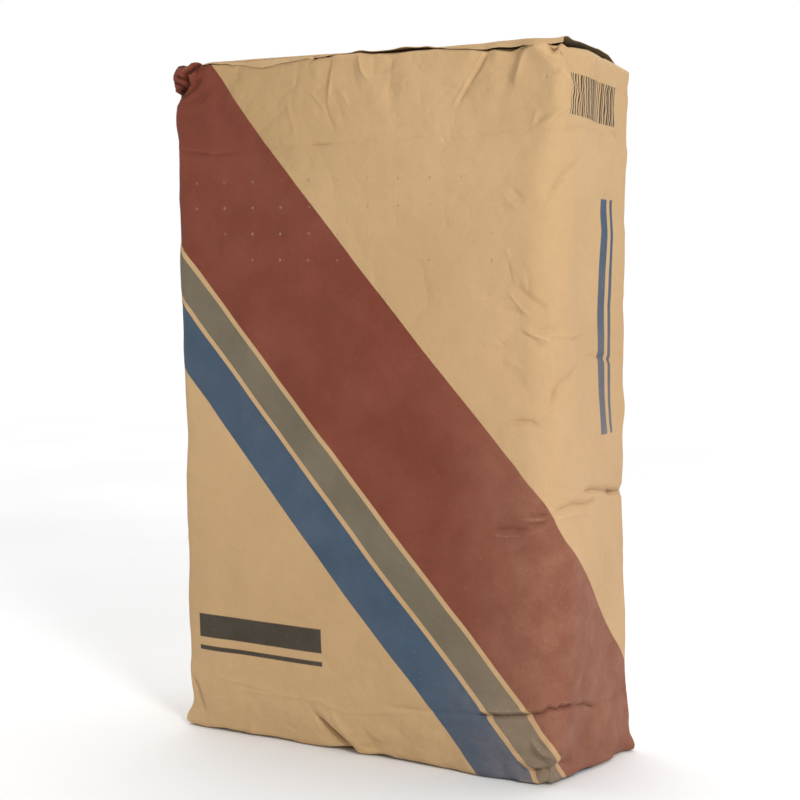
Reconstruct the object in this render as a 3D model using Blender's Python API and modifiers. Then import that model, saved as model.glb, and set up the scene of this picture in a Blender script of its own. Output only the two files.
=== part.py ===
"""A filled paper valve sack of cement, standing on its block bottom.

Metres, +Z up, the wide front wall towards -Y. The origin is on the floor, under the middle of the sack.
The sack is a tube of kraft paper whose two ends are folded into flat blocks. A cover patch is pasted over
each block. The powder was blown in through a flat paper sleeve at the top of the left wall (-X).
"""

import math

import bmesh
import bpy
from mathutils import Matrix, Vector

# Driving dimensions of the filled sack
HEIGHT = 0.500
WIDTH = 0.315
DEPTH = 0.115
PAPER_WALL = 0.0004
PATCH_WALL = 0.0003
GAP = 0.0003

# How the filled tube swells between its two folded ends
END_ZONE = 0.090
END_EDGE_RADIUS = 0.0035
END_CORNER_RADIUS = 0.008
BODY_CORNER_RADIUS = 0.013
SPREAD_X = 0.0035
SPREAD_Y = 0.0020
FRONT_CROWN = 0.0065
SIDE_CROWN = 0.002
TOP_DOME = 0.004

# The tube was creased across its front wall about half a block's depth from each end
BOTTOM_CREASE = 0.045
TOP_CREASE = HEIGHT - 0.057
CREASE_DEPTH = 0.0012
CREASE_HALF_WIDTH = 0.010

# The sleeve that closes under the cement's own pressure
VALVE_WIDTH = 0.060
VALVE_LENGTH = 0.095
VALVE_WALL = 0.0008
SLOT_TOP = 0.0048
SLOT_HEIGHT = 0.0024
SLEEVE_MOUTH = 0.0015

# The pasted cover patches
TOP_PATCH_LENGTH = 0.303
TOP_PATCH_WIDTH = 0.106
TOP_PATCH_SHIFT = 0.005
BOTTOM_PATCH_LENGTH = 0.285
BOTTOM_PATCH_WIDTH = 0.092
PATCH_LIFT = 0.007
LIFT_LENGTH = 0.150

BASE_Z = PATCH_WALL + GAP

# Local pulls on the paper: centre on the plain box, reach, and movement of the middle
PULLS = (
    # crumpled corner beside the valve
    ((-WIDTH / 2, -DEPTH / 2, HEIGHT - 0.010), 0.028, (-0.0040, -0.0050, 0.0020)),
    ((-WIDTH / 2 + 0.020, -DEPTH / 2, HEIGHT - 0.030), 0.018, (0.0020, 0.0040, 0.0)),
    # folded ears at the corners of the bottom block
    ((-WIDTH / 2, -DEPTH / 2, 0.004), 0.024, (-0.0030, -0.0020, 0.0015)),
    ((WIDTH / 2, DEPTH / 2, 0.004), 0.030, (0.0085, 0.0020, 0.0)),
    # the right wall spreads at its foot
    ((WIDTH / 2, 0.020, 0.0), 0.052, (0.0050, 0.0, 0.0)),
    # the front wall's foot is tucked in right of its middle
    ((0.035, -DEPTH / 2, 0.0), 0.060, (0.0, 0.0035, 0.0)),
    # the left wall is fullest under the top block
    ((-WIDTH / 2, 0.0, 0.380), 0.150, (-0.0035, 0.0, 0.0)),
    # the right wall draws in above its middle
    ((WIDTH / 2, 0.0, 0.350), 0.150, (-0.0055, 0.0, 0.0)),
    # dent across the right wall
    ((WIDTH / 2, 0.010, 0.186), 0.034, (-0.0050, 0.0, 0.0)),
)


def clamp(value, low, high):
    return max(low, min(high, value))


def ease(share):
    """Smooth rise from 0 to 1."""
    share = clamp(share, 0.0, 1.0)
    return share * share * (3.0 - 2.0 * share)


def fullness(z):
    """0 at the two folded ends of the sack, 1 where the tube is free to swell."""
    return ease(z / END_ZONE) * ease((HEIGHT - z) / END_ZONE)


def rounded(point):
    """A point of the plain box, moved onto the box with rounded edges whose radius grows away from the ends."""
    swell = fullness(point.z)
    radius = END_CORNER_RADIUS + (BODY_CORNER_RADIUS - END_CORNER_RADIUS) * swell
    half_x = WIDTH / 2 + SPREAD_X * swell
    half_y = DEPTH / 2 + SPREAD_Y * swell
    point = Vector((point.x * half_x / (WIDTH / 2), point.y * half_y / (DEPTH / 2), point.z))
    core = Vector(
        (
            clamp(point.x, radius - half_x, half_x - radius),
            clamp(point.y, radius - half_y, half_y - radius),
            clamp(point.z, END_EDGE_RADIUS, HEIGHT - END_EDGE_RADIUS),
        )
    )
    away = point - core
    way = Vector((away.x / radius, away.y / radius, away.z / END_EDGE_RADIUS)).normalized()
    return core + Vector((way.x * radius, way.y * radius, way.z * END_EDGE_RADIUS))


def swollen(point, box_point):
    """The crown of the four walls and of the top block."""
    across = box_point.x / (WIDTH / 2)
    along_depth = box_point.y / (DEPTH / 2)
    swell = math.sin(math.pi * clamp(box_point.z / HEIGHT, 0.0, 1.0)) ** 0.6
    point.y += along_depth * FRONT_CROWN * (1.0 - across * across) * swell
    point.x += across * SIDE_CROWN * (1.0 - along_depth * along_depth) * swell
    over_top = ease((box_point.z - HEIGHT + 0.004) / 0.004)
    point.z += TOP_DOME * over_top * (1.0 - across**2) * (1.0 - along_depth**2)
    return point


def creased(point, box_point):
    """The two shallow cross creases of the front wall."""
    front = clamp(-box_point.y / (DEPTH / 2), 0.0, 1.0)
    for height in (BOTTOM_CREASE, TOP_CREASE):
        near = clamp(1.0 - abs(box_point.z - height) / CREASE_HALF_WIDTH, 0.0, 1.0)
        point.y += CREASE_DEPTH * near * front
    return point


def pulled(point, box_point):
    for centre, reach, movement in PULLS:
        weight = ease(1.0 - (box_point - Vector(centre)).length / reach)
        point += Vector(movement) * weight
    return point


def settled(box_point):
    """Where a point of the plain WIDTH x DEPTH x HEIGHT box lies on the filled sack."""
    point = rounded(box_point)
    point = swollen(point, box_point)
    point = creased(point, box_point)
    point = pulled(point, box_point)
    point.z = max(point.z, 0.0) + BASE_Z
    return point


def even_steps(low, high, step):
    """Planes between low and high, both left out, about one step apart."""
    count = max(1, round((high - low) / step))
    return [low + (high - low) * i / count for i in range(1, count)]


def mirrored(values):
    return [-v for v in values] + list(values)


def loop_planes():
    """Where the cage of the sack is cut across X, Y and Z, closer together near its folded edges."""
    rim = (0.0045, 0.013, 0.030)
    near_x = [WIDTH / 2 - r for r in rim]
    near_y = [DEPTH / 2 - 0.0045, DEPTH / 2 - 0.013, VALVE_WIDTH / 2]
    slot = [HEIGHT - SLOT_TOP, HEIGHT - SLOT_TOP - SLOT_HEIGHT]
    near_z = [0.0045, 0.016, 0.036, HEIGHT - 0.036, HEIGHT - 0.017]
    creases = [BOTTOM_CREASE, TOP_CREASE]
    across = mirrored(near_x) + even_steps(-near_x[-1], near_x[-1], 0.034)
    depth = mirrored(near_y) + even_steps(-VALVE_WIDTH / 2, VALVE_WIDTH / 2, 0.020)
    upright = near_z + slot + creases + even_steps(BOTTOM_CREASE, TOP_CREASE, 0.034)
    return across, depth, upright


def sack_cage():
    """The plain box of the sack, cut by every loop plane. Each vertex keeps its place on the plain box."""
    cage = bmesh.new()
    bmesh.ops.create_cube(cage, size=1.0)
    bmesh.ops.scale(cage, vec=(WIDTH, DEPTH, HEIGHT), verts=cage.verts)
    bmesh.ops.translate(cage, vec=(0.0, 0.0, HEIGHT / 2), verts=cage.verts)
    for normal, places in zip(((1, 0, 0), (0, 1, 0), (0, 0, 1)), loop_planes()):
        for place in places:
            everything = cage.verts[:] + cage.edges[:] + cage.faces[:]
            bmesh.ops.bisect_plane(cage, geom=everything, plane_co=Vector(normal) * place, plane_no=normal)
    return cage


def paper(name, colour, roughness):
    made = bpy.data.materials.new(name)
    made.use_nodes = True
    shader = made.node_tree.nodes["Principled BSDF"]
    shader.inputs["Base Color"].default_value = (*colour, 1.0)
    shader.inputs["Roughness"].default_value = roughness
    shader.inputs["Metallic"].default_value = 0.0
    return made


def piece(name, cage, collection, material, smooth_angle=35.0):
    """A named object from a bmesh, shaded smooth up to an angle."""
    mesh = bpy.data.meshes.new(name)
    cage.to_mesh(mesh)
    cage.free()
    mesh.materials.append(material)
    mesh.shade_smooth()
    mesh.set_sharp_from_angle(angle=math.radians(smooth_angle))
    made = bpy.data.objects.new(name, mesh)
    collection.objects.link(made)
    return made


def add_solidify(made, thickness, offset):
    modifier = made.modifiers.new("paper thickness", "SOLIDIFY")
    modifier.thickness = thickness
    modifier.offset = offset
    modifier.use_even_offset = True
    return modifier


def in_valve_slot(face):
    """True for the faces of the plain box that the valve opens in the left wall."""
    middle = face.calc_center_median()
    return (
        middle.x < -WIDTH / 2 + 1e-5
        and abs(middle.y) < VALVE_WIDTH / 2
        and HEIGHT - SLOT_TOP - SLOT_HEIGHT < middle.z < HEIGHT - SLOT_TOP
    )


def make_paper_sack(collection, material):
    """The tube with both folded ends, open at the valve slot, with its paper wall inwards."""
    cage = sack_cage()
    slot = [face for face in cage.faces if in_valve_slot(face)]
    bmesh.ops.delete(cage, geom=slot, context="FACES")
    for vertex in cage.verts:
        vertex.co = settled(vertex.co.copy())
    sack = piece("paper_sack", cage, collection, material)
    add_solidify(sack, PAPER_WALL, -1.0)
    return sack


def make_cement_fill(collection, material):
    """The powder: the sack's own shape less its paper, level under the valve sleeve."""
    cage = sack_cage()
    everything = cage.verts[:] + cage.edges[:] + cage.faces[:]
    level = sleeve_height() - VALVE_WALL / 2 - GAP
    cut = Vector((0.0, 0.0, level - BASE_Z))
    bmesh.ops.bisect_plane(cage, geom=everything, plane_co=cut, plane_no=(0, 0, 1), clear_outer=True)
    rim = [vertex for vertex in cage.verts if vertex.is_boundary]
    for vertex in cage.verts:
        vertex.co = settled(vertex.co.copy())
    cage.normal_update()
    inset = PAPER_WALL + GAP
    moves = [vertex.normal * inset * vertex.calc_shell_factor() for vertex in cage.verts]
    for vertex, move in zip(cage.verts, moves):
        vertex.co -= move
    for vertex in rim:
        vertex.co.z = level
    lid = bmesh.ops.holes_fill(cage, edges=[edge for edge in cage.edges if edge.is_boundary])["faces"]
    for face in lid:
        face.normal_update()
        if face.normal.z < 0.0:
            face.normal_flip()
    return piece("cement_fill", cage, collection, material)


def sleeve_height():
    return BASE_Z + HEIGHT - SLOT_TOP - SLOT_HEIGHT / 2


def flat_sheet(length, width, steps_x, steps_y):
    sheet = bmesh.new()
    bmesh.ops.create_grid(sheet, x_segments=steps_x, y_segments=steps_y, size=0.5)
    bmesh.ops.scale(sheet, vec=(length, width, 1.0), verts=sheet.verts)
    return sheet


def make_valve_sleeve(collection, material):
    """A paper tube pressed flat, from its mouth in the left wall inwards under the top block."""
    sheet = flat_sheet(VALVE_LENGTH, VALVE_WIDTH - 0.004, 6, 4)
    middle = -WIDTH / 2 - SLEEVE_MOUTH + VALVE_LENGTH / 2
    bmesh.ops.translate(sheet, vec=(middle, 0.0, sleeve_height()), verts=sheet.verts)
    sleeve = piece("valve_sleeve", sheet, collection, material)
    add_solidify(sleeve, VALVE_WALL, 0.0)
    return sleeve


def top_height(x, y):
    """Height of the sack's top block over a point of the floor."""
    return settled(Vector((x, y, HEIGHT))).z


def patch_lift(x, y):
    """The top patch springs up at its right end, most along its middle."""
    along = ease((x - TOP_PATCH_SHIFT - TOP_PATCH_LENGTH / 2 + LIFT_LENGTH) / LIFT_LENGTH)
    across = 1.0 - 0.75 * (y / (TOP_PATCH_WIDTH / 2)) ** 2
    return PATCH_LIFT * along * across


def make_top_cover_patch(collection, material):
    sheet = flat_sheet(TOP_PATCH_LENGTH, TOP_PATCH_WIDTH, 24, 10)
    for vertex in sheet.verts:
        x, y = vertex.co.x + TOP_PATCH_SHIFT, vertex.co.y
        vertex.co = (x, y, top_height(x, y) + 2 * GAP + patch_lift(x, y))
    patch = piece("top_cover_patch", sheet, collection, material)
    add_solidify(patch, PATCH_WALL, 1.0)
    return patch


def make_bottom_cover_patch(collection, material):
    """The sheet that the sack stands on."""
    sheet = flat_sheet(BOTTOM_PATCH_LENGTH, BOTTOM_PATCH_WIDTH, 6, 3)
    patch = piece("bottom_cover_patch", sheet, collection, material)
    add_solidify(patch, PATCH_WALL, 1.0)
    return patch


def centre_on_origin(sack, pieces):
    """Put the middle of the sack's outline over the origin, as the pulls at its corners are uneven."""
    xs = [vertex.co.x for vertex in sack.data.vertices]
    ys = [vertex.co.y for vertex in sack.data.vertices]
    middle = Vector(((min(xs) + max(xs)) / 2, (min(ys) + max(ys)) / 2, 0.0))
    for made in pieces:
        made.data.transform(Matrix.Translation(-middle))


def clear_scene():
    for left_over in list(bpy.data.objects):
        bpy.data.objects.remove(left_over)


def main():
    clear_scene()
    collection = bpy.data.collections.new("cement_bag")
    bpy.context.scene.collection.children.link(collection)
    kraft = paper("sack_kraft", (0.60, 0.42, 0.23), 0.72)
    patch_kraft = paper("patch_kraft", (0.56, 0.39, 0.22), 0.75)
    sleeve_kraft = paper("sleeve_kraft", (0.58, 0.41, 0.24), 0.75)
    cement = paper("cement_powder", (0.36, 0.36, 0.34), 0.95)
    sack = make_paper_sack(collection, kraft)
    inside = [make_cement_fill(collection, cement), make_valve_sleeve(collection, sleeve_kraft)]
    patches = [make_top_cover_patch(collection, patch_kraft), make_bottom_cover_patch(collection, patch_kraft)]
    centre_on_origin(sack, [sack, *inside, *patches])


main()
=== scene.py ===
"""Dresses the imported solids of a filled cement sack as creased, printed kraft paper.

Sizes are in metres, and lists marked MM are in millimetres. The sack's paper is described on the plain box
that it would be without bulge or crease: "girth" runs round its four walls from the front left edge, past the
front (0 to 315), the right wall (to 430), the back (to 745) and the left wall (to 860), and "height" runs up
from the floor.
"""

import math

import bmesh
import bpy
import numpy as np
from bpy.props import FloatProperty, FloatVectorProperty, PointerProperty
from mathutils import Matrix, Vector
from mathutils.geometry import delaunay_2d_cdt


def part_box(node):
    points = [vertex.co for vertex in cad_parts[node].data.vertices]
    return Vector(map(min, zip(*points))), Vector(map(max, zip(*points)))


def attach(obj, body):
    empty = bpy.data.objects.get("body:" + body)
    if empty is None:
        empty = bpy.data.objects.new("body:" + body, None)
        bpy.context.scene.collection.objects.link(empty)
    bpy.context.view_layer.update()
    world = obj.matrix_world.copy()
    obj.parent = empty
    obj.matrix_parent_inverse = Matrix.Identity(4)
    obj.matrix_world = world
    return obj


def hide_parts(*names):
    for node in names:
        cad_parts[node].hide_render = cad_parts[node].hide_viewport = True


bl_info = {
    "name": "Cement Sack",
    "version": (1, 0, 0),
    "blender": (4, 5, 0),
    "location": "View3D > Sidebar > Sack",
    "description": "Builds the creased and printed paper of a filled cement sack",
    "category": "Add Mesh",
}

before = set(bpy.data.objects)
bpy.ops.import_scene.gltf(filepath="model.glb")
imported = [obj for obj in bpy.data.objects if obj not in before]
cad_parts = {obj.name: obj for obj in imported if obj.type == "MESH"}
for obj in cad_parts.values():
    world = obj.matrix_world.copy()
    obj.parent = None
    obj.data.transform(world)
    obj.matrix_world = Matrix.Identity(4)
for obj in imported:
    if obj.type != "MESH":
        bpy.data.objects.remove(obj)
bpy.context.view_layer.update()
BASE_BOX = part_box("bottom_cover_patch")
MIDDLE = (BASE_BOX[0] + BASE_BOX[1]) / 2

MM = 0.001
SEED = 11

# Side of a cell of the height rasters, in metres, and cells to the millimetre
RASTER = 0.0005
CELLS = MM / RASTER

# Sides of the squares that the plain box is cut into, in metres, and how often each is then halved
PAPER_SQUARES, PAPER_LEVELS = (0.0150, 0.0144, 0.0150), 2
POWDER_SQUARES, POWDER_LEVELS = (0.024, 0.020, 0.024), 1

# Creases are drawn this much wider than listed, and deeper on the walls by these shares
SPREAD = 1.15
SEEN_SHARE = 1.2
HIDDEN_SHARE = 1.6

# Middle of the CAD's outline, and the clear height of every piece over the floor, in metres
SEAT = np.array((MIDDLE.x, MIDDLE.y, 0.0006))

# The filled paper: bulge of the walls, roundness of the rims, of the upright edges by the folded ends and of
# each between them, rise and dome of the top, in metres
BULGE_X = 0.0030
BULGE_Y = 0.0020
RIM_RADIUS = 0.0024
FOLD_RADIUS = 0.0055
EDGE_RADII = {"front right": 0.026, "front left": 0.009, "back right": 0.012, "back left": 0.014}
TOP_RISE = 0.0028
TOP_DOME = 0.0009

# The top cover patch in metres: how many points across and back, its left and back edges, thickness, gap to
# the block, and where across it its front strip comes off, its right end arches and its pasted side takes
# painted shade
PATCH_COLUMNS, PATCH_ROWS = 236, 112
PATCH_LEFT = -0.147
PATCH_BACK = 0.107
PATCH_THICKNESS = 0.00045
PATCH_GAP = 0.0007
STRIP_FROM, STRIP_TO = 0.044, 0.072
STRIP_REACH = 0.024
ARCH_FROM = 0.080
UNDERSIDE_SHADE_FROM, UNDERSIDE_SHADE_TO = 0.118, 0.142
UNDERSIDE_SHADE_LEAST = 0.25

# The powder is this much smaller than the filled paper, and its flat top lies this far under the block's top
POWDER_SHARE = (0.955, 0.86, 0.975)
POWDER_HEADROOM = 0.010

# The print, in metres: stripes by their heights at the middle of the front wall, the rest by girth and height
RED_STRIPE = (0.200, 0.357)
OLIVE_STRIPE = (0.162, 0.1945)
BLUE_STRIPE = (0.108, 0.1565)
SIDE_RULES = ((0.3830, 0.3935), (0.3985, 0.4025))
SIDE_RULES_UP = (0.236, 0.402)
BARS_ROUND, BARS_UP = (0.3240, 0.4030), (0.456, 0.484)
BARS_TO_THE_METRE = 300.0
FRONT_RULES_UP = ((0.072, 0.090), (0.062, 0.0655))
FRONT_RULES_ROUND = (0.016, 0.128)
PRICKS_ROUND, PRICKS_UP = (0.004, 0.311), (0.350, 0.420)
PRICK_STEP_ROUND, PRICK_STEP_UP = 0.0246, 0.0190

# The photograph's camera: focal length in pixels of an 800 pixel image, place, yaw and pitch in degrees
IMAGE_PIXELS = 800.0
FOCAL_PIXELS = 1720.0
SENSOR = 36.0
CAMERA_PLACE = (0.6515, -1.09375, 0.36425)
CAMERA_YAW, CAMERA_PITCH = 30.8, 4.9

# Studio lights: place, what each is aimed at, side of its square, power
LIGHTS = {
    "key": ((1.60, -1.12, 1.26), (0.05, 0.0, 0.27), 0.45, 25.0),
    "low_fill": ((-0.5, -1.9, 0.30), (-0.1, 0.0, 0.1), 0.6, 6.2),
    "side_fill": ((1.7, -0.7, 0.30), (0.15, 0.0, 0.1), 0.5, 3.0),
    "overhead": ((-5.0, 8.0, 7.0), (-5.0, 8.0, 0.0), 18.0, 900.0),
}

# The floor's radius in metres, and the side that the studio's surroundings are brightest on
FLOOR_RADIUS = 14.0
BRIGHT_SIDE = (-0.45, 0.75, 0.60)

# Where the cement presses the walls out or lets them in: wall, place across and up, two reaches, height. MM
SWELLS = (
    ("left", 0, 464, 90, 30, 4.2),
    ("left", 0, 412, 90, 58, 3.4),
    ("left", 0, 200, 120, 150, -3.0),
    ("right", 20, 340, 90, 110, -6.0),
    ("right", 40, 190, 60, 22, -3.5),
    ("right", 0, 90, 80, 60, 1.0),
    ("front", 0, 215, 150, 170, 5.0),
    ("front", 135, 285, 34, 50, -2.5),
    ("front", -60, 330, 60, 90, 1.5),
    ("back", 0, 230, 150, 170, 6.0),
    ("back", -60, 120, 60, 60, 1.5),
)

# The folded ends are crumpled from this height up and up to this height, growing over this much. MM
HEAD_FROM, FOOT_TO, ENDS_GROW = 415.0, 70.0, 50.0

# Upright edges of the sack, where the paper is crumpled most: girth, reach, share. MM
CRUMPLED_EDGES = ((318, 50, 1.0), (430, 35, 1.0), (745, 40, 1.0), (0, 40, 0.6), (860, 40, 0.6))

# Creases of the front and right walls and round the valve: points as girth and height, depth, half width and
# kind. A valley and a ridge are V-shaped. A lap steps down from the left of its line to the right, as one
# walks it. MM
CREASES = (
    # the cross crease under the top block, pressed in when the flat tube was folded
    (((0, 440), (24, 438), (34, 436), (60, 438)), 1.9, 3.5, "lap"),
    (((50, 438), (92, 440), (127, 441), (240, 443)), 0.9, 3, "lap"),
    (((115, 441), (134, 440), (140, 442)), 1.0, 2.5, "valley"),
    (((240, 443), (300, 445), (345, 449), (400, 448)), 0.7, 3, "valley"),
    (((315, 444), (333, 446), (341, 447)), 1.0, 3, "valley"),
    # folds that run down from the top edge
    (((135, 502), (132, 489), (130, 469), (133, 460), (141, 446)), 0.9, 3, "valley"),
    (((137, 493), (135, 486), (134, 478), (134, 468)), 0.7, 2.5, "ridge"),
    (((139, 500), (138, 493), (137, 484), (137, 469)), 0.6, 2.5, "valley"),
    (((158, 501), (159, 494), (161, 488), (165, 483), (168, 481)), 1.3, 3.5, "ridge"),
    (((168, 497), (170, 490), (169, 481)), 0.9, 3, "valley"),
    (((183, 496), (184, 487), (182, 477), (180, 471)), 1.0, 3, "valley"),
    (((257, 500), (249, 485), (243, 476), (237, 467), (231, 459)), 1.1, 2.5, "ridge"),
    (((261, 500), (251, 485), (245, 476), (235, 460)), 1.4, 2.5, "valley"),
    (((125, 503), (120, 499), (114, 494)), 1.5, 3, "valley"),
    (((117, 478), (121, 473), (127, 467), (132, 463)), 1.0, 3.5, "ridge"),
    (((106, 493), (105, 485), (105, 477)), 0.8, 2.5, "valley"),
    (((140, 477), (145, 473), (148, 469), (150, 464)), 1.0, 3.5, "ridge"),
    (((136, 475), (142, 465), (148, 449)), 0.8, 5, "valley"),
    (((95, 479), (99, 466), (104, 452), (107, 441)), 0.7, 3.5, "ridge"),
    (((195, 480), (197, 475)), 0.6, 2.5, "valley"),
    # folds round the crushed corner
    (((7, 479), (16, 482), (26, 489)), 0.9, 3, "ridge"),
    (((8, 473), (18, 477), (32, 485)), 0.9, 3, "valley"),
    (((16, 470), (27, 474), (36, 484)), 0.7, 3, "ridge"),
    (((14, 488), (20, 492)), 0.8, 2.5, "valley"),
    (((5, 466), (14, 462), (22, 466)), 0.7, 3, "valley"),
    # the folded triangle of the top block's right end
    (((289, 497), (286, 489), (283, 481), (279, 475)), 1.5, 6, "ridge"),
    (((284, 497), (280, 488), (276, 480)), 0.7, 5, "valley"),
    (((290, 498), (297, 499), (303, 499), (306, 497), (310, 493), (315, 490)), 1.5, 3.5, "ridge"),
    (((305, 499), (309, 496), (312, 499)), 3.6, 3, "valley"),
    (((313, 495), (317, 493)), 1.6, 2, "valley"),
    (((312, 495), (321, 492), (327, 490)), 1.0, 3, "ridge"),
    (((308, 480), (312, 483), (315, 486)), 1.0, 2.5, "valley"),
    (((315, 484), (319, 479), (327, 475)), 1.0, 2.5, "ridge"),
    (((304, 481), (306, 478)), 0.9, 2.5, "valley"),
    (((328, 462), (320, 459), (312, 456), (307, 451), (301, 448), (290, 442)), 1.4, 4, "ridge"),
    (((306, 456), (301, 452), (296, 450)), 0.8, 3, "valley"),
    (((298, 459), (296, 453), (293, 446)), 1.0, 3, "ridge"),
    (((392, 453), (410, 449), (418, 444)), 1.2, 4, "valley"),
    # wrinkles where the front turns into the right wall
    (((344, 428), (325, 416), (308, 404), (302, 394)), 1.8, 6, "valley"),
    (((277, 408), (283, 403), (289, 397)), 0.9, 3.5, "valley"),
    (((273, 403), (279, 397), (286, 392)), 0.9, 3.5, "ridge"),
    (((270, 397), (277, 391)), 0.6, 3, "valley"),
    (((276, 367), (280, 360)), 0.7, 3, "ridge"),
    (((277, 358), (279, 349), (280, 342)), 0.7, 3, "valley"),
    (((290, 356), (293, 346), (293, 333)), 0.7, 4, "valley"),
    (((281, 343), (287, 338), (294, 333), (302, 329), (308, 325)), 1.7, 5, "valley"),
    (((276, 339), (282, 333), (288, 326), (294, 321)), 1.3, 4.0, "ridge"),
    (((269, 327), (279, 325), (290, 322)), 1.0, 4, "valley"),
    (((237, 332), (249, 334), (260, 332), (274, 330)), 0.7, 3.5, "ridge"),
    (((279, 312), (288, 309), (294, 307), (300, 303), (309, 304)), 1.4, 4, "valley"),
    (((287, 314), (294, 309), (306, 306), (312, 302)), 1.2, 3.5, "ridge"),
    (((297, 312), (308, 312), (323, 313)), 1.0, 4, "valley"),
    (((309, 309), (336, 307), (363, 308)), 0.9, 4, "ridge"),
    (((321, 306), (344, 305), (368, 308)), 1.0, 3.5, "valley"),
    (((253, 299), (264, 299), (273, 300), (281, 299)), 0.9, 3.5, "valley"),
    (((268, 305), (275, 301)), 0.6, 2.5, "valley"),
    (((357, 293), (385, 291), (412, 286)), 1.2, 4, "valley"),
    (((352, 288), (320, 273), (308, 261), (301, 256)), 2.6, 9, "valley"),
    (((275, 291), (282, 288), (288, 284)), 0.8, 3.5, "ridge"),
    (((273, 250), (286, 251), (294, 251), (298, 248), (303, 248)), 1.7, 4, "valley"),
    (((297, 252), (308, 254)), 0.8, 3, "valley"),
    (((264, 244), (288, 246), (303, 243)), 0.7, 4, "ridge"),
    (((258, 226), (276, 221), (300, 217)), 0.6, 6, "valley"),
    (((303, 213), (309, 211), (322, 205), (339, 201)), 0.9, 4, "valley"),
    # the dent that runs across the front's edge to a notch in the right wall
    (((351, 199), (371, 199), (389, 196), (416, 192)), 2.5, 4.5, "valley"),
    (((312, 188), (324, 191), (338, 193), (362, 190), (383, 191)), 2.5, 5, "valley"),
    (((308, 184), (330, 186), (366, 184)), 1.1, 4, "ridge"),
    (((395, 193), (434, 191)), 3.4, 5, "valley"),
    (((288, 187), (299, 187), (310, 189)), 2.2, 3.5, "valley"),
    (((285, 180), (303, 182), (311, 184)), 2.4, 3.5, "valley"),
    (((260, 175), (273, 176), (284, 177), (300, 179)), 2.0, 3.5, "valley"),
    (((259, 171), (273, 171), (293, 173)), 1.2, 3, "ridge"),
    (((226, 161), (237, 162), (251, 163)), 0.5, 3, "ridge"),
    (((277, 142), (286, 142)), 0.6, 3, "valley"),
    (((284, 149), (297, 151)), 0.5, 3, "valley"),
    (((282, 107), (294, 110)), 0.6, 3, "valley"),
    # the cross crease above the bottom block
    (((43, 34), (98, 35), (123, 36), (133, 33), (148, 30), (203, 38)), 0.6, 2.5, "ridge"),
    (((180, 39), (226, 41), (258, 44)), 0.9, 3, "valley"),
    (((250, 43), (273, 45), (289, 48), (302, 51), (308, 54)), 3.0, 3.2, "valley"),
    (((252, 47), (273, 49), (289, 52), (300, 55)), 0.9, 3.0, "ridge"),
    (((300, 51), (308, 55), (318, 54), (323, 55), (344, 52)), 2.9, 3.0, "valley"),
    (((310, 59), (322, 59), (342, 56)), 0.8, 3.0, "ridge"),
    (((338, 52), (356, 50), (366, 46), (378, 43)), 2.2, 3.0, "valley"),
    (((378, 43), (430, 44)), 0.9, 3.5, "valley"),
    # folds that run up from the bottom edge
    (((148, 1), (135, 10), (125, 19), (116, 26)), 2.6, 6, "lap"),
    (((125, 10), (121, 16), (119, 25)), 0.8, 3, "ridge"),
    (((129, 33), (134, 29), (142, 19), (151, 10)), 0.8, 3.5, "ridge"),
    (((132, 29), (133, 19)), 0.5, 2.5, "valley"),
    (((104, 35), (116, 27)), 0.5, 3, "ridge"),
    (((157, 6), (174, 4)), 1.2, 4, "valley"),
    (((168, 16), (178, 12)), 0.6, 3, "ridge"),
    (((91, 14), (103, 10)), 0.6, 3.5, "valley"),
    (((294, 32), (302, 27), (309, 22)), 1.2, 4, "ridge"),
    (((297, 34), (308, 27), (312, 23)), 0.9, 3, "valley"),
    (((300, 17), (308, 20), (321, 15), (345, 11)), 1.5, 4, "valley"),
    (((291, 7), (304, 10), (309, 11), (313, 8)), 1.9, 4, "valley"),
    (((358, 16), (370, 20), (376, 24)), 0.8, 3, "ridge"),
    (((394, 4), (403, 19)), 0.7, 3, "ridge"),
    (((2, 45), (9, 32), (13, 20), (19, 9)), 2.2, 4.5, "valley"),
    (((26, 43), (60, 39), (96, 36)), 0.6, 3.0, "ridge"),
    (((850, 40), (838, 24), (826, 8)), 1.4, 7, "valley"),
    # the slit round the mouth of the valve sleeve in the left wall, with its lips and the puckers round it
    (((771, 494), (834, 494)), 3.0, 4, "valley"),
    (((768, 499), (837, 499)), 1.3, 3.5, "ridge"),
    (((774, 489), (802, 488), (832, 489)), 1.0, 3.5, "ridge"),
    (((772, 494), (762, 489), (754, 479)), 1.5, 3.5, "valley"),
    (((833, 494), (842, 488), (848, 477)), 1.5, 3.5, "valley"),
    (((786, 490), (791, 476), (787, 460)), 1.4, 4, "valley"),
    (((819, 490), (814, 475), (820, 462)), 1.4, 4, "valley"),
    (((803, 490), (801, 474), (806, 462)), 1.0, 4, "ridge"),
)

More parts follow.
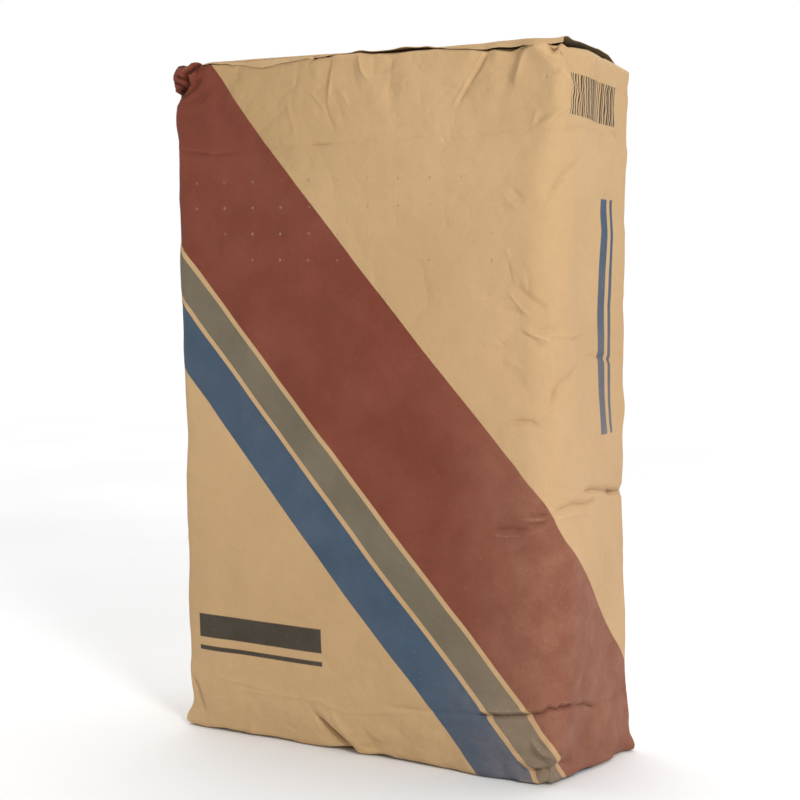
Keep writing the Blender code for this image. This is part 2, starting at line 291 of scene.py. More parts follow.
# Corners of the flat facets that the two end folds left: girth, height, and how far each stands out. MM
FACETS = (
    # the top block, from the left
    (12, 492, 0.3), (24, 474, -0.3), (40, 490, 0.0), (36, 458, 0.2), (60, 480, 0.3), (66, 496, -0.2),
    (82, 478, -0.3), (90, 494, 0.3), (104, 480, 0.3), (104, 497, -0.3), (113, 489, -0.5), (110, 466, 0.3),
    (124, 491, 0.5), (121, 476, 0.3), (131, 497, -0.8), (129, 483, -0.9), (127, 469, -0.4), (127, 456, -0.1),
    (138, 495, 0.7), (136, 481, 0.9), (133, 466, 0.5), (152, 494, -0.7), (153, 483, -1.0), (158, 472, -0.6),
    (157, 499, 0.9), (159, 490, 1.1), (163, 482, 1.0), (169, 475, 0.5), (171, 492, 0.0), (175, 483, 0.3),
    (178, 470, 0.4), (177, 492, 0.3), (185, 494, -0.9), (184, 470, -0.8), (184, 455, -0.2), (193, 490, 0.6),
    (192, 471, 0.4), (205, 495, -0.2), (210, 478, 0.2), (222, 492, 0.3), (224, 472, -0.2), (236, 494, 0.2),
    (234, 470, 0.2), (248, 498, 0.7), (241, 485, 0.6), (258, 499, -0.9), (251, 486, -1.1), (244, 472, -0.5),
    (239, 459, 0.0), (266, 497, 0.3), (262, 480, 0.5), (259, 462, 0.2), (280, 497, -1.7), (275, 484, -1.5),
    (269, 465, 0.1), (288, 496, 1.2), (284, 482, 1.2), (279, 469, 0.5), (274, 455, 0.2), (293, 499, 1.1),
    (301, 497, 1.7), (307, 491, 1.7), (314, 484, 1.4), (323, 475, 0.7), (310, 500, -1.8), (317, 494, -1.4),
    (325, 486, -0.7), (300, 480, 0.6), (296, 465, 0.2), (311, 469, 1.0), (304, 452, 0.5), (335, 497, 0.0),
    (334, 479, -0.6), (345, 469, 0.4), (352, 491, 0.5), (366, 480, -0.4), (380, 494, 0.4), (395, 477, 0.2),
    (352, 456, 0.0), (372, 461, -0.5), (396, 459, 0.3), (412, 490, 0.0),
    # the bottom block, from the left
    (90, 24, 0.3), (96, 8, -0.2), (116, 27, -0.2), (129, 16, -1.7), (142, 6, -2.7), (149, 1, -2.7),
    (121, 29, 0.6), (134, 20, 1.5), (147, 10, 1.9), (156, 1, 1.2), (110, 20, 0.3), (118, 10, 0.1),
    (128, 3, -0.5), (105, 4, 0.4), (140, 27, 0.6), (160, 20, 0.5), (160, 7, 1.0), (167, 8, -0.6),
    (174, 3, -0.6), (181, 11, 0.4), (192, 20, 0.0), (206, 8, 0.2), (222, 19, -0.2), (240, 6, 0.3),
    (250, 22, 0.3), (266, 12, -0.3), (275, 25, 0.3), (296, 32, 1.2), (304, 24, 1.4), (311, 20, 1.2),
    (317, 17, 0.9), (298, 24, -0.4), (306, 16, -1.1), (315, 12, -1.1), (325, 11, -0.7), (334, 12, -0.7),
    (287, 17, 0.6), (280, 7, 0.6), (288, 9, -1.1), (297, 9, -1.4), (306, 10, -1.2), (312, 7, -1.1),
    (290, 1, 0.8), (302, 1, 0.9), (296, 14, 0.8), (322, 3, 0.3), (322, 27, 1.0), (336, 24, 0.2),
    (346, 6, 0.4), (369, 20, 0.7), (361, 12, -0.4), (376, 14, -0.5), (399, 11, 0.8), (404, 5, -0.5),
    (411, 17, -0.4), (385, 7, 0.1), (422, 6, 0.2),
)

# Sizes of the paper's flat facets: spacing, listed corners, softening, and heights on the walls, over
# the folded ends and by the upright edges. MM
FACET_SIZES = (
    (46.0, (), 5, 0.9, 0.9, 1.2),
    (19.0, FACETS, 3, 0.30, 1.25, 0.75),
    (9.0, (), 2, 0.05, 0.22, 0.18),
)

# Creases of the walls that the photograph's side of the sack hides, of the same kinds. MM
HIDDEN_CREASES = (
    (((430, 442), (520, 441), (640, 443), (745, 440), (860, 440)), 0.9, 3.5, "valley"),
    (((430, 46), (540, 42), (650, 44), (745, 42), (860, 40)), 1.2, 4, "lap"),
    (((446, 502), (452, 484), (449, 468), (456, 452)), 1.6, 4, "valley"),
    (((470, 500), (484, 474), (492, 458)), 1.4, 5, "ridge"),
    (((505, 500), (500, 482), (508, 466)), 1.3, 4, "valley"),
    (((560, 500), (556, 476), (566, 460)), 1.4, 4, "valley"),
    (((571, 500), (567, 480), (577, 462)), 1.0, 4, "ridge"),
    (((655, 500), (668, 476), (672, 458)), 1.6, 4, "valley"),
    (((690, 500), (684, 486), (689, 470)), 1.0, 4, "ridge"),
    (((720, 500), (708, 474)), 2.0, 5, "valley"),
    (((736, 480), (745, 472), (758, 478)), 1.4, 4, "valley"),
    (((780, 482), (786, 466), (800, 450)), 1.4, 4, "valley"),
    (((846, 484), (838, 470), (842, 455)), 1.3, 4, "valley"),
    (((745, 440), (770, 430), (790, 432)), 1.0, 5, "valley"),
    (((500, 4), (516, 22), (520, 38)), 2.0, 5, "valley"),
    (((440, 6), (452, 20), (450, 36)), 1.6, 4, "valley"),
    (((610, 4), (600, 20), (604, 36)), 1.6, 4, "valley"),
    (((660, 8), (676, 12), (690, 6)), 1.2, 4, "valley"),
    (((700, 4), (712, 20), (730, 34)), 2.0, 5, "lap"),
    (((752, 8), (766, 20), (768, 34)), 1.5, 4, "valley"),
    (((430, 250), (462, 246), (500, 255)), 1.4, 4, "valley"),
    (((436, 262), (470, 258), (486, 262)), 0.9, 4, "ridge"),
    (((450, 330), (480, 322), (512, 328)), 1.2, 4, "valley"),
    (((456, 340), (470, 352), (474, 368)), 1.0, 4, "valley"),
    (((425, 150), (446, 140), (470, 143)), 1.3, 4, "valley"),
    (((700, 300), (730, 306), (752, 300)), 1.4, 4, "valley"),
    (((716, 290), (738, 294), (770, 286)), 0.9, 4, "ridge"),
    (((720, 384), (740, 372), (746, 356)), 1.1, 4, "valley"),
    (((690, 170), (722, 164), (748, 170)), 1.6, 4, "lap"),
    (((730, 150), (748, 146), (786, 152)), 1.2, 4, "valley"),
    (((772, 250), (800, 244), (834, 250)), 1.2, 4, "valley"),
    (((836, 330), (852, 322), (860, 324)), 1.2, 4, "valley"),
    (((800, 96), (830, 90), (856, 96)), 1.1, 4, "valley"),
    (((540, 214), (566, 208), (590, 214)), 0.7, 4, "valley"),
    (((620, 356), (642, 350), (656, 356)), 0.7, 4, "valley"),
)

# How far the top cover patch's front edge lies behind the sack's front edge: place across it, distance. MM
PATCH_EDGE = (
    (-160, 0),
    (-125, -1),
    (-105, -2.5),
    (-82, -6.2),
    (-69, -4.6),
    (-54, -2.6),
    (-28, -1.4),
    (-18, 0.5),
    (-8, 2),
    (48, 2),
    (58, 0.5),
    (72, -1.0),
    (96, -3.4),
    (118, -4.0),
    (134, -3.9),
    (150, -3.5),
    (160, -3.2),
)

# How ragged its front and back edges are: seed, from and to across it, step. MM
RAGGED_FRONT = (31, -160, 160, 5.0)
RAGGED_BACK = (32, -160, 160, 7.0)

# The rim under its front strip is evened over this many of its points
RIM_WINDOW = 17

# The top cover patch's front edge that has come off at the right: place across it, height over the rim. MM
PATCH_STRIP = (
    (58, 0.0),
    (72, 0.8),
    (96, 2.7),
    (110, 4.2),
    (120, 4.4),
    (130, 4.0),
    (142, 3.1),
    (152, 2.0),
    (160, 1.6),
)

# The top cover patch's arched right end: place back from the front, height over the block. MM
PATCH_ARCH = ((0, 1.8), (8, 3.8), (20, 5.8), (36, 7.0), (60, 7.0), (78, 5.6), (92, 2.3), (104, 0.0))

# Small buckles in the top cover patch's front edge: place across it, reach, height. MM
PATCH_BUCKLES = ((0, 6, 1.6), (36, 8, 1.6), (54, 5, 1.2), (-75, 16, 0.5))

# Creases of the top cover patch, of the same kinds: points across from its left and back from its front. MM
PATCH_CREASES = (
    # edges of the folded flaps beneath: the long ones overlap, and the short ones have slanting edges
    (((40, 61), (110, 62), (200, 60), (278, 62)), 1.0, 5, "lap"),
    (((34, 6), (52, 34), (60, 58)), 0.9, 5, "lap"),
    (((60, 60), (54, 84), (38, 108)), 0.9, 5, "lap"),
    (((262, 58), (268, 34), (286, 8)), 0.9, 5, "lap"),
    (((288, 108), (270, 84), (264, 62)), 0.9, 5, "lap"),
    # wrinkles of the pasted paper
    (((14, 20), (24, 34), (22, 50)), 1.1, 4.5, "valley"),
    (((26, 96), (46, 88), (70, 94)), 0.9, 4.5, "valley"),
    (((66, 22), (92, 30), (122, 24)), 0.9, 4.5, "ridge"),
    (((70, 27), (92, 36), (118, 31)), 0.9, 4, "valley"),
    (((96, 72), (104, 84), (100, 100)), 0.9, 4, "valley"),
    (((130, 46), (150, 42), (176, 50)), 0.8, 4.5, "valley"),
    (((142, 92), (166, 82), (196, 86)), 0.9, 4.5, "ridge"),
    (((146, 97), (168, 88), (192, 92)), 0.8, 4, "valley"),
    (((160, 6), (166, 20), (180, 30)), 1.1, 4.5, "valley"),
    (((193, 5), (196, 18), (190, 34)), 1.0, 4.5, "ridge"),
    (((206, 12), (222, 30), (226, 50)), 1.2, 5, "valley"),
    (((232, 9), (262, 17), (300, 13)), 1.4, 5, "ridge"),
    (((240, 15), (264, 24), (304, 22)), 1.2, 4.5, "valley"),
    (((236, 76), (252, 90), (254, 106)), 1.0, 4.5, "valley"),
    (((290, 44), (300, 58), (298, 76)), 1.0, 4.5, "valley"),
)

# Places that are dragged out of the block, such as the ears of its folded ends and the crushed corner: corner
# or middle of an edge as signs of x and y and 0 or 1 for foot or head, offset from it, reach, move, power. MM
PULLS = (
    # the front left ear and the edge above it
    ((-1, -1, 0), (0, 0, 3), 17, (-4.0, -1.0, 1.4), 1.3),
    ((-1, -1, 0), (0, 0, 14), 28, (0, 4.0, 0), 1.0),
    ((-1, -1, 0), (0, 0, 28), 20, (1.5, 0, 0), 1.0),
    ((0, -1, 0), (-70, 0, 0), 36, (0, 2.2, 0), 1.0),
    ((0, -1, 0), (-42, 0, 0), 30, (0, 1.6, 0), 1.0),
    # the back right ear and the edge above it
    ((1, 1, 0), (0, 0, 3), 12, (7.0, 0, 0), 1.1),
    ((1, 1, 0), (0, 0, 0), 40, (1.0, 0, 0), 1.0),
    ((1, 1, 0), (0, 0, 250), 22, (2.6, 0, 0), 1.0),
    ((1, 1, 0), (0, 0, 140), 55, (-1.8, 0, 0), 1.0),
    # the front left edge
    ((-1, -1, 0), (0, 0, 78), 32, (2.2, 0, 0), 1.0),
    ((-1, -1, 0), (0, 0, 373), 45, (-2.4, 0, 0), 1.0),
    # the foot of the right and front walls
    ((1, 1, 0), (0, 0, 38), 34, (2.4, 0, 0), 1.0),
    ((1, 0, 0), (0, 20, 0), 52, (6.2, 0, 0), 1.0),
    ((1, -1, 0), (0, 16, 0), 30, (-2.5, 0, 0), 1.0),
    ((0, -1, 0), (35, 0, 0), 34, (0, 3.0, 2.2), 1.0),
    ((0, -1, 0), (70, 0, 0), 34, (0, 2.2, 1.4), 1.0),
    ((0, -1, 0), (0, 0, 0), 34, (0, 2.2, 1.4), 1.0),
    ((1, -1, 0), (0, 0, 0), 24, (-3.0, 2.0, 0), 1.0),
    # the back left edge, at its foot and its head
    ((-1, 1, 0), (0, 0, 4), 28, (-5.0, 3.0, 2.0), 2.0),
    ((-1, 1, 1), (0, 0, -3), 26, (-2.0, 1.0, 2.0), 1.5),
    # the top's right end
    ((1, 1, 1), (0, 0, 0), 150, (0, 0, -7.0), 1.0),
    ((1, 1, 1), (0, 0, 0), 30, (-1.0, 0, -1.0), 1.0),
    # the crushed corner
    ((-1, -1, 1), (0, 0, -4), 24, (1.5, 3.5, -3.5), 1.0),
    ((-1, -1, 1), (0, 0, -30), 28, (-5.0, 0, 0), 1.0),
    # the top front right corner
    ((1, -1, 1), (-40, 0, 0), 60, (0, 1.0, -1.9), 1.0),
    ((1, -1, 1), (-12, 0, 0), 10, (0, -0.6, 1.4), 1.0),
    ((1, -1, 1), (0, 0, 0), 12, (0, 0, 3.0), 1.2),
)

# Lobes of the crushed corner: centre from the plain corner, radii, turn about the y axis in degrees. MM
CRUMPLE_LOBES = (
    ((4.8, 0.0, -6.0), (8.8, 8.5, 8.6), 0),
    ((12.5, 0.0, -0.3), (8.4, 6.0, 3.8), -12),
    ((5.0, 0.5, -11.0), (6.4, 6.0, 6.6), 15),
    ((1.5, 1.5, -16.5), (3.4, 3.6, 4.4), 25),
    ((7.0, 8.0, -7.0), (10.0, 9.0, 11.0), 10),
)

# Side of the cells that melt the lobes into one, in metres
CRUMPLE_CELL = 0.0006

# Flat facets of the crushed corner: how many, how much they tilt, and how flat each gets
CRUMPLE_FACETS = ((26, 0.25, 0.60), (110, 0.25, 0.30))

# Folds of the crushed corner: points across and up from the plain corner, depth, half width. MM
CRUMPLE_FOLDS = (
    (((20, 2.5), (14.5, -0.5), (9.5, -4), (10, -7.5), (11, -11), (8, -14.5), (-1.5, -19)), 4.4, 2.6),
    (((3.5, -5.5), (7, -7.5), (10, -8)), 2.0, 1.8),
    (((6.5, -15), (3, -11), (-1, -10)), 1.8, 1.8),
    (((12.5, 4.5), (7, 1.5), (1, 1)), 1.2, 1.9),
    (((17, 4.5), (11.5, 1.6), (7.5, -2.2)), -1.4, 1.5),
)


class SackSettings(bpy.types.PropertyGroup):
    """What a user of this sack would change."""

    height: FloatProperty(
        name="Height", description="Block to block, standing", default=0.500, unit="LENGTH"
    )
    width: FloatProperty(name="Width", description="Across the front wall", default=0.315, unit="LENGTH")
    depth: FloatProperty(name="Depth", description="Across a narrow wall", default=0.115, unit="LENGTH")
    relief: FloatProperty(
        name="Crease depth", description="Scales every crease and dent", default=1.0, subtype="FACTOR"
    )
    stripe_slope: FloatProperty(
        name="Stripe slope", description="Fall of the printed stripes for each metre of girth", default=1.10
    )
    kraft: FloatVectorProperty(
        name="Kraft", description="Bare brown paper", default=(0.472, 0.311, 0.158), subtype="COLOR"
    )
    red_ink: FloatVectorProperty(
        name="Red ink", description="Wide stripe", default=(0.152, 0.037, 0.020), subtype="COLOR"
    )
    olive_ink: FloatVectorProperty(
        name="Olive ink", description="Middle stripe", default=(0.133, 0.110, 0.075), subtype="COLOR"
    )
    blue_ink: FloatVectorProperty(
        name="Blue ink", description="Lower stripe, rules", default=(0.044, 0.070, 0.104), subtype="COLOR"
    )
    black_ink: FloatVectorProperty(
        name="Black ink", description="Rules and bars", default=(0.048, 0.038, 0.026), subtype="COLOR"
    )


# Shapes


def ease(share):
    """0 to 1 with a soft start and end."""
    share = np.clip(share, 0.0, 1.0)
    return share * share * (3.0 - 2.0 * share)


def along(knots, places):
    """Heights at places in metres, between knots that give place and height. MM"""
    knots = np.array(knots, float)
    return np.interp(places / MM, knots[:, 0], knots[:, 1]) * MM


def cloud(rng, rows, columns, cell_rows, cell_columns):
    """Smooth random heights of about -1 to 1 on a raster, with no join from the last column to the first."""
    count_r = max(2, int(round(rows / CELLS / cell_rows)) + 1)
    count_c = max(3, int(round(columns / CELLS / cell_columns)))
    knots = rng.uniform(-1.0, 1.0, (count_r + 1, count_c))
    r = np.linspace(0.0, count_r - 1.001, rows)
    c = np.linspace(0.0, count_c, columns, endpoint=False)
    ri, ci = r.astype(int), c.astype(int)
    rf, cf = ease(r - ri)[:, None], ease(c - ci)[None, :]
    near, far = knots[ri], knots[ri + 1]
    after = (ci + 1) % count_c
    low = near[:, ci] * (1.0 - cf) + near[:, after] * cf
    high = far[:, ci] * (1.0 - cf) + far[:, after] * cf
    return low * (1.0 - rf) + high * rf


def blurred(raster, times):
    """A soft average with the neighbours, round the girth and up the height."""
    for _ in range(times):
        raster = (np.roll(raster, 1, 1) + raster * 2.0 + np.roll(raster, -1, 1)) / 4.0
        padded = np.pad(raster, ((1, 1), (0, 0)), mode="edge")
        raster = (padded[:-2] + padded[1:-1] * 2.0 + padded[2:]) / 4.0
    return raster


def facets(points, heights, rows, columns):
    """Flat triangles between points of known height, as crumpled paper has."""
    found = delaunay_2d_cdt([Vector(p) * CELLS for p in points], [], [], 0, 1e-6)
    corners, sources, faces = found[0], found[3], found[2]
    level = [heights[origin[0]] for origin in sources]
    raster = np.zeros((rows, columns))
    for face in faces:
        a, b, c = (np.array(corners[i]) for i in face)
        low = np.maximum(np.floor(np.minimum(np.minimum(a, b), c)), 0).astype(int)
        high = np.ceil(np.maximum(np.maximum(a, b), c)).astype(int) + 1
        high = np.minimum(high, (columns, rows))
        if low[0] >= high[0] or low[1] >= high[1]:
            continue
        x, y = np.meshgrid(np.arange(low[0], high[0]), np.arange(low[1], high[1]))
        area = (b[0] - a[0]) * (c[1] - a[1]) - (c[0] - a[0]) * (b[1] - a[1])
        wb = ((x - a[0]) * (c[1] - a[1]) - (c[0] - a[0]) * (y - a[1])) / area
        wc = ((b[0] - a[0]) * (y - a[1]) - (x - a[0]) * (b[1] - a[1])) / area
        wa = 1.0 - wb - wc
        inside = (wa >= -1e-6) & (wb >= -1e-6) & (wc >= -1e-6)
        plane = wa * level[face[0]] + wb * level[face[1]] + wc * level[face[2]]
        window = raster[low[1] : high[1], low[0] : high[0]]
        window[inside] = plane[inside]
    return raster


def facet_field(rng, rows, columns, spacing, placed=()):
    """Crumple of one size, alike all over but for the listed corners."""
    points = [(u, z) for u, z, _ in placed]
    heights = [lift for _, _, lift in placed]
    kept = np.array(points) if placed else np.zeros((0, 2))
    round_mm = columns / CELLS
    for row in range(-1, int(rows / CELLS / spacing) + 2):
        count = int(round_mm / spacing)
        step = round_mm / count
        jitter = rng.uniform(-0.42, 0.42, (count, 2))
        level = rng.uniform(-1.0, 1.0, count)
        for k in range(-2, count + 2):
            i = k % count
            x = (k + 0.5 * (row % 2) + jitter[i, 0]) * step
            y = (row + jitter[i, 1]) * spacing
            if len(kept) and np.min(np.abs(kept - (x, y)).sum(1)) < spacing * 0.9:
                continue
            points.append((x, y))
            heights.append(level[i] * (0.6 if placed else 1.0))
    return facets(points, heights, rows, columns)


def crease(raster, points, depth, half_width, kind):
    """Press one crease into the raster. It is sharp along its line, and dies out at both ends."""
    rows, columns = raster.shape
    line = np.array(points, float) * CELLS
    half_width = half_width * CELLS
    low = np.floor(line.min(0) - half_width * 2).astype(int)
    high = np.ceil(line.max(0) + half_width * 2).astype(int)
    x, y = np.meshgrid(np.arange(low[0], high[0] + 1), np.arange(low[1], high[1] + 1))
    lengths = np.linalg.norm(np.diff(line, axis=0), axis=1)
    total = lengths.sum()
    nearest = np.full(x.shape, 1e9)
    signed = np.zeros(x.shape)
    walked = np.zeros(x.shape)
    run = 0.0
    for a, b, length in zip(line[:-1], line[1:], lengths):
        way = (b - a) / length
        s = (x - a[0]) * way[0] + (y - a[1]) * way[1]
        side = (x - a[0]) * -way[1] + (y - a[1]) * way[0]
        t = np.clip(s, 0.0, length)
        distance = np.hypot(x - a[0] - way[0] * t, y - a[1] - way[1] * t)
        closer = distance < nearest
        nearest = np.where(closer, distance, nearest)
        signed = np.where(closer, np.sign(side) * distance, signed)
        walked = np.where(closer, run + t, walked)
        run += length
    fade = np.minimum(0.35 * total, half_width * 3.0)
    strength = ease(0.15 + 0.85 * np.minimum(walked, total - walked) / fade)
    flank = np.clip(1.0 - nearest / half_width, 0.0, 1.0) ** 2
    if kind == "lap":
        lip = np.clip(signed / CELLS / 1.2, -1.0, 1.0)
        change = depth * flank * np.where(lip > 0.0, 0.55 * lip, 0.9 * lip)
        change -= 0.35 * depth * flank**3
    else:
        change = depth * flank * (-1.0 if kind == "valley" else 1.0)
    change *= strength
    row = y.ravel()
    on_raster = (row >= 0) & (row < rows)
    cells = (row[on_raster], x.ravel()[on_raster] % columns)
    np.add.at(raster, cells, change.ravel()[on_raster])


def raster_size(settings):
    """Rows and columns of a raster of the walls: rows up, columns round."""
    rows = int(round(settings.height / RASTER)) + 1
    columns = int(round(2 * (settings.width + settings.depth) / RASTER))
    return rows, columns


def relief_map(settings):
    """Heights of the paper over the smooth filled sack, in metres, on a raster of the walls."""
    rows, columns = raster_size(settings)
    rng = np.random.RandomState(SEED)
    z = np.arange(rows)[:, None] / CELLS
    u = np.arange(columns)[None, :] / CELLS
    ends = np.maximum(ease((z - HEAD_FROM) / ENDS_GROW), ease((FOOT_TO - z) / ENDS_GROW))
    turn = 0.0 * z
    for middle, reach, share in CRUMPLED_EDGES:
        turn = turn + share * np.exp(-(((u - middle) / reach) ** 2))
    turn = np.clip(turn, 0.0, 1.0)
    # broad waves, then flat facets, which are stronger over the folded ends and the edges
    height = 1.5 * cloud(rng, rows, columns, 95, 80) * (1.0 - 0.5 * ends)
    height += 0.55 * cloud(rng, rows, columns, 38, 30)
    for spacing, placed, softening, on_walls, on_ends, on_edges in FACET_SIZES:
        crumple = blurred(facet_field(rng, rows, columns, spacing, placed), softening)
        height += crumple * (on_walls + on_ends * ends + on_edges * turn)
    for creases, share in ((CREASES, SEEN_SHARE), (HIDDEN_CREASES, HIDDEN_SHARE)):
        for points, depth, half_width, kind in creases:
            crease(height, points, depth * share, half_width * SPREAD, kind)
    return height * MM * settings.relief


def busy_map(settings):
    """How finely the paper is divided: 2 along the main creases, 1 over the folded ends, 0 elsewhere."""
    rows, columns = raster_size(settings)
    z = np.arange(rows)[:, None] / CELLS
    u = np.arange(columns)[None, :] / CELLS
    seen_ends = ((z > 436) | (z < 58)) & (u > 84) & (u < 432)
    busy = seen_ends | (z > 456) | (z < 40)
    lines, soft = np.zeros((rows, columns)), np.zeros((rows, columns))
    for points, _, half_width, _ in CREASES:
        crease(lines, points, 1.0, min(half_width, 5.0), "ridge")
    for points, _, half_width, _ in HIDDEN_CREASES:
        crease(soft, points, 1.0, half_width, "ridge")
    return np.where(lines > 0.04, 2, np.where((lines + soft + busy) > 0.0, 1, 0))


def sampled(raster, girth, height):
    """The raster between its cells, at places in metres."""
    rows, columns = raster.shape
    x = girth / RASTER
    y = np.clip(height / RASTER, 0.0, rows - 1.001)
    xi, yi = np.floor(x).astype(int), y.astype(int)
    xf, yf = x - xi, y - yi
    a, b = raster[yi, xi % columns], raster[yi, (xi + 1) % columns]
    c, d = raster[yi + 1, xi % columns], raster[yi + 1, (xi + 1) % columns]
    return (a * (1 - xf) + b * xf) * (1 - yf) + (c * (1 - xf) + d * xf) * yf


def girth_of(p, settings):
    """Place round the walls of points of the plain box. A point of an end takes its nearest wall's place.

    Gives also how far each point lies in from that wall.
    """
    w, d = settings.width / 2, settings.depth / 2
    x, y = p[:, 0], p[:, 1]
    gaps = np.stack((y + d, w - x, d - y, x + w), 1)
    wall = np.argmin(gaps, 1)
    places = np.stack((x + w, 2 * w + y + d, 2 * w + 2 * d + w - x, 4 * w + 2 * d + d - y), 1)
    return places[np.arange(len(p)), wall], gaps.min(1)


def edge_radius(p, settings):
    """How round the four upright edges are, at points of the plain box."""
    z = p[:, 2]
    swell = ease((z - 0.020) / 0.060) * ease((settings.height - 0.020 - z) / 0.080)
    front, right = p[:, 1] < 0.0, p[:, 0] > 0.0
    at_front = np.where(right, EDGE_RADII["front right"], EDGE_RADII["front left"])
    at_back = np.where(right, EDGE_RADII["back right"], EDGE_RADII["back left"])
    return FOLD_RADIUS + (np.where(front, at_front, at_back) - FOLD_RADIUS) * swell


def filled_shape(p, settings):
    """Where points of the plain box lie once the cement has filled the paper, before creases."""
    w, d, h = settings.width / 2, settings.depth / 2, settings.height
    z = p[:, 2]
    swell = ease(z / 0.09) * ease((h - z) / 0.09)
    half_x = w + BULGE_X * swell
    half_y = d + BULGE_Y * swell
    radius = edge_radius(p, settings)
    rim = np.full(len(p), RIM_RADIUS)
    wide = p * np.stack((half_x / w, half_y / d, np.ones(len(p))), 1)
    limit = np.stack((half_x - radius, half_y - radius), 1)
    core = np.column_stack((np.clip(wide[:, :2], -limit, limit), np.clip(z, rim, h - rim)))
    reach = np.stack((radius, radius, rim), 1)
    way = (wide - core) / reach
    way /= np.maximum(np.linalg.norm(way, axis=1, keepdims=True), 1e-9)
    q = core + way * reach
    # the top rises, but for its right end, where the block slopes down
    inside = np.minimum(w - np.abs(p[:, 0]), d - np.abs(p[:, 1]))
    across = ease((w - 0.004 - p[:, 0]) / 0.024) * ease((p[:, 0] + w) / 0.03)
    across *= ease((d + 0.05 - p[:, 1]) / 0.12)
    q[:, 2] += (TOP_RISE * across + 0.0006) * ease((z - h + 0.070) / 0.070)
    q[:, 2] += np.where(z > h - 1e-6, TOP_DOME * ease(inside / 0.030) * across, 0.0)
    foot_and_head = ease(z / 0.02) * ease((h - z) / 0.02)
    for wall, across, up, reach_a, reach_u, lift in SWELLS:
        axis = 0 if wall in ("left", "right") else 1
        sign = -1.0 if wall in ("left", "front") else 1.0
        half = w if axis == 0 else d
        near = ease((p[:, axis] * sign / half - 0.35) / 0.65)
        a = (p[:, 1 - axis] / MM - across) / reach_a
        u = (z / MM - up) / reach_u
        q[:, axis] += sign * lift * MM * near * np.exp(-(a * a + u * u)) * foot_and_head
    return q


def pulls(p, q, settings):
    """Drag places of the filled shape out of the block."""
    half = np.array((settings.width / 2, settings.depth / 2, settings.height))
    for corner, offset, reach, move, power in PULLS:
        centre = half * corner + np.array(offset) * MM
        near = ease(1.0 - np.linalg.norm(p - centre, axis=1) / (reach * MM)) ** power
        q += near[:, None] * np.array(move) * MM
    return q


def cage_planes(low, high, step):
    """Planes that cut a stretch into equal parts of about the step."""
    count = max(1, int(round((high - low) / step)))
    return [low + (high - low) * i / count for i in range(1, count)]


def plain_box(settings, steps, levels):
    """The plain box in squares of about the steps, divided again.

    Its UV map gives each corner's place on the paper, as girth and height.
    """
    w, d, h = settings.width, settings.depth, settings.height
    cage = bmesh.new()
    bmesh.ops.create_cube(cage, size=1.0)
    bmesh.ops.scale(cage, vec=(w, d, h), verts=cage.verts)
    bmesh.ops.translate(cage, vec=(0.0, 0.0, h / 2), verts=cage.verts)
    spans = ((-w / 2, w / 2), (-d / 2, d / 2), (0.0, h))
    for normal, (low, high), step in zip(((1, 0, 0), (0, 1, 0), (0, 0, 1)), spans, steps):
        for place in cage_planes(low, high, step):
            everything = cage.verts[:] + cage.edges[:] + cage.faces[:]
            bmesh.ops.bisect_plane(cage, geom=everything, plane_co=Vector(normal) * place, plane_no=normal)
    layer = cage.loops.layers.uv.new("paper")
    for face in cage.faces:
        n = face.normal
        for loop in face.loops:
            x, y, z = loop.vert.co
            if n.y < -0.5:
                loop[layer].uv = (x + w / 2, z)
            elif n.x > 0.5:
                loop[layer].uv = (w + y + d / 2, z)
            elif n.y > 0.5:
                loop[layer].uv = (w + d + w / 2 - x, z)
            elif n.x < -0.5:
                loop[layer].uv = (2 * w + d + d / 2 - y, z)
            elif n.z > 0.5:
                loop[layer].uv = (x + w / 2, h + y + d / 2)
            else:
                loop[layer].uv = (x + w / 2, -y - d / 2)
    mesh = bpy.data.meshes.new("plain_box")
    cage.to_mesh(mesh)
    cage.free()
    holder = bpy.data.objects.new("plain_box", mesh)
    bpy.context.scene.collection.objects.link(holder)
    finer = holder.modifiers.new("finer", "SUBSURF")
    finer.subdivision_type = "SIMPLE"
    finer.levels = finer.render_levels = levels
    graph = bpy.context.evaluated_depsgraph_get()
    fine = bpy.data.meshes.new_from_object(holder.evaluated_get(graph))
    bpy.data.objects.remove(holder)
    return fine


def refine(mesh, settings):
    """Divide the faces again where the paper's creases need it."""
    rows, columns = raster_size(settings)
    busy = busy_map(settings)
    cage = bmesh.new()
    cage.from_mesh(mesh)
    for level in (1, 2):
        edges = set()
        for face in cage.faces:
            if abs(face.normal.z) > 0.5:
                continue
            centre = np.array((face.calc_center_median(),))
            girth, _ = girth_of(centre, settings)
            row = min(max(int(centre[0, 2] / RASTER), 0), rows - 1)
            if busy[row, int(girth[0] / RASTER) % columns] >= level:
                edges.update(face.edges)
        bmesh.ops.subdivide_edges(cage, edges=list(edges), cuts=1, use_grid_fill=True)
    cage.to_mesh(mesh)
    cage.free()


def points_of(mesh, what="co"):
    """The points of a mesh as an array, or their normals."""
    out = np.empty(len(mesh.vertices) * 3, np.float32)
    mesh.vertices.foreach_get(what, out)
    return out.reshape(-1, 3).astype(float)


def set_points(mesh, points):
    mesh.vertices.foreach_set("co", points.astype(np.float32).ravel())
    mesh.update()


def keep(mesh, name, values):
    """Keep a value for each point of a mesh, for the materials to read."""
    attribute = mesh.attributes.new(name, "FLOAT", "POINT")
    attribute.data.foreach_set("value", values.astype(np.float32).ravel())


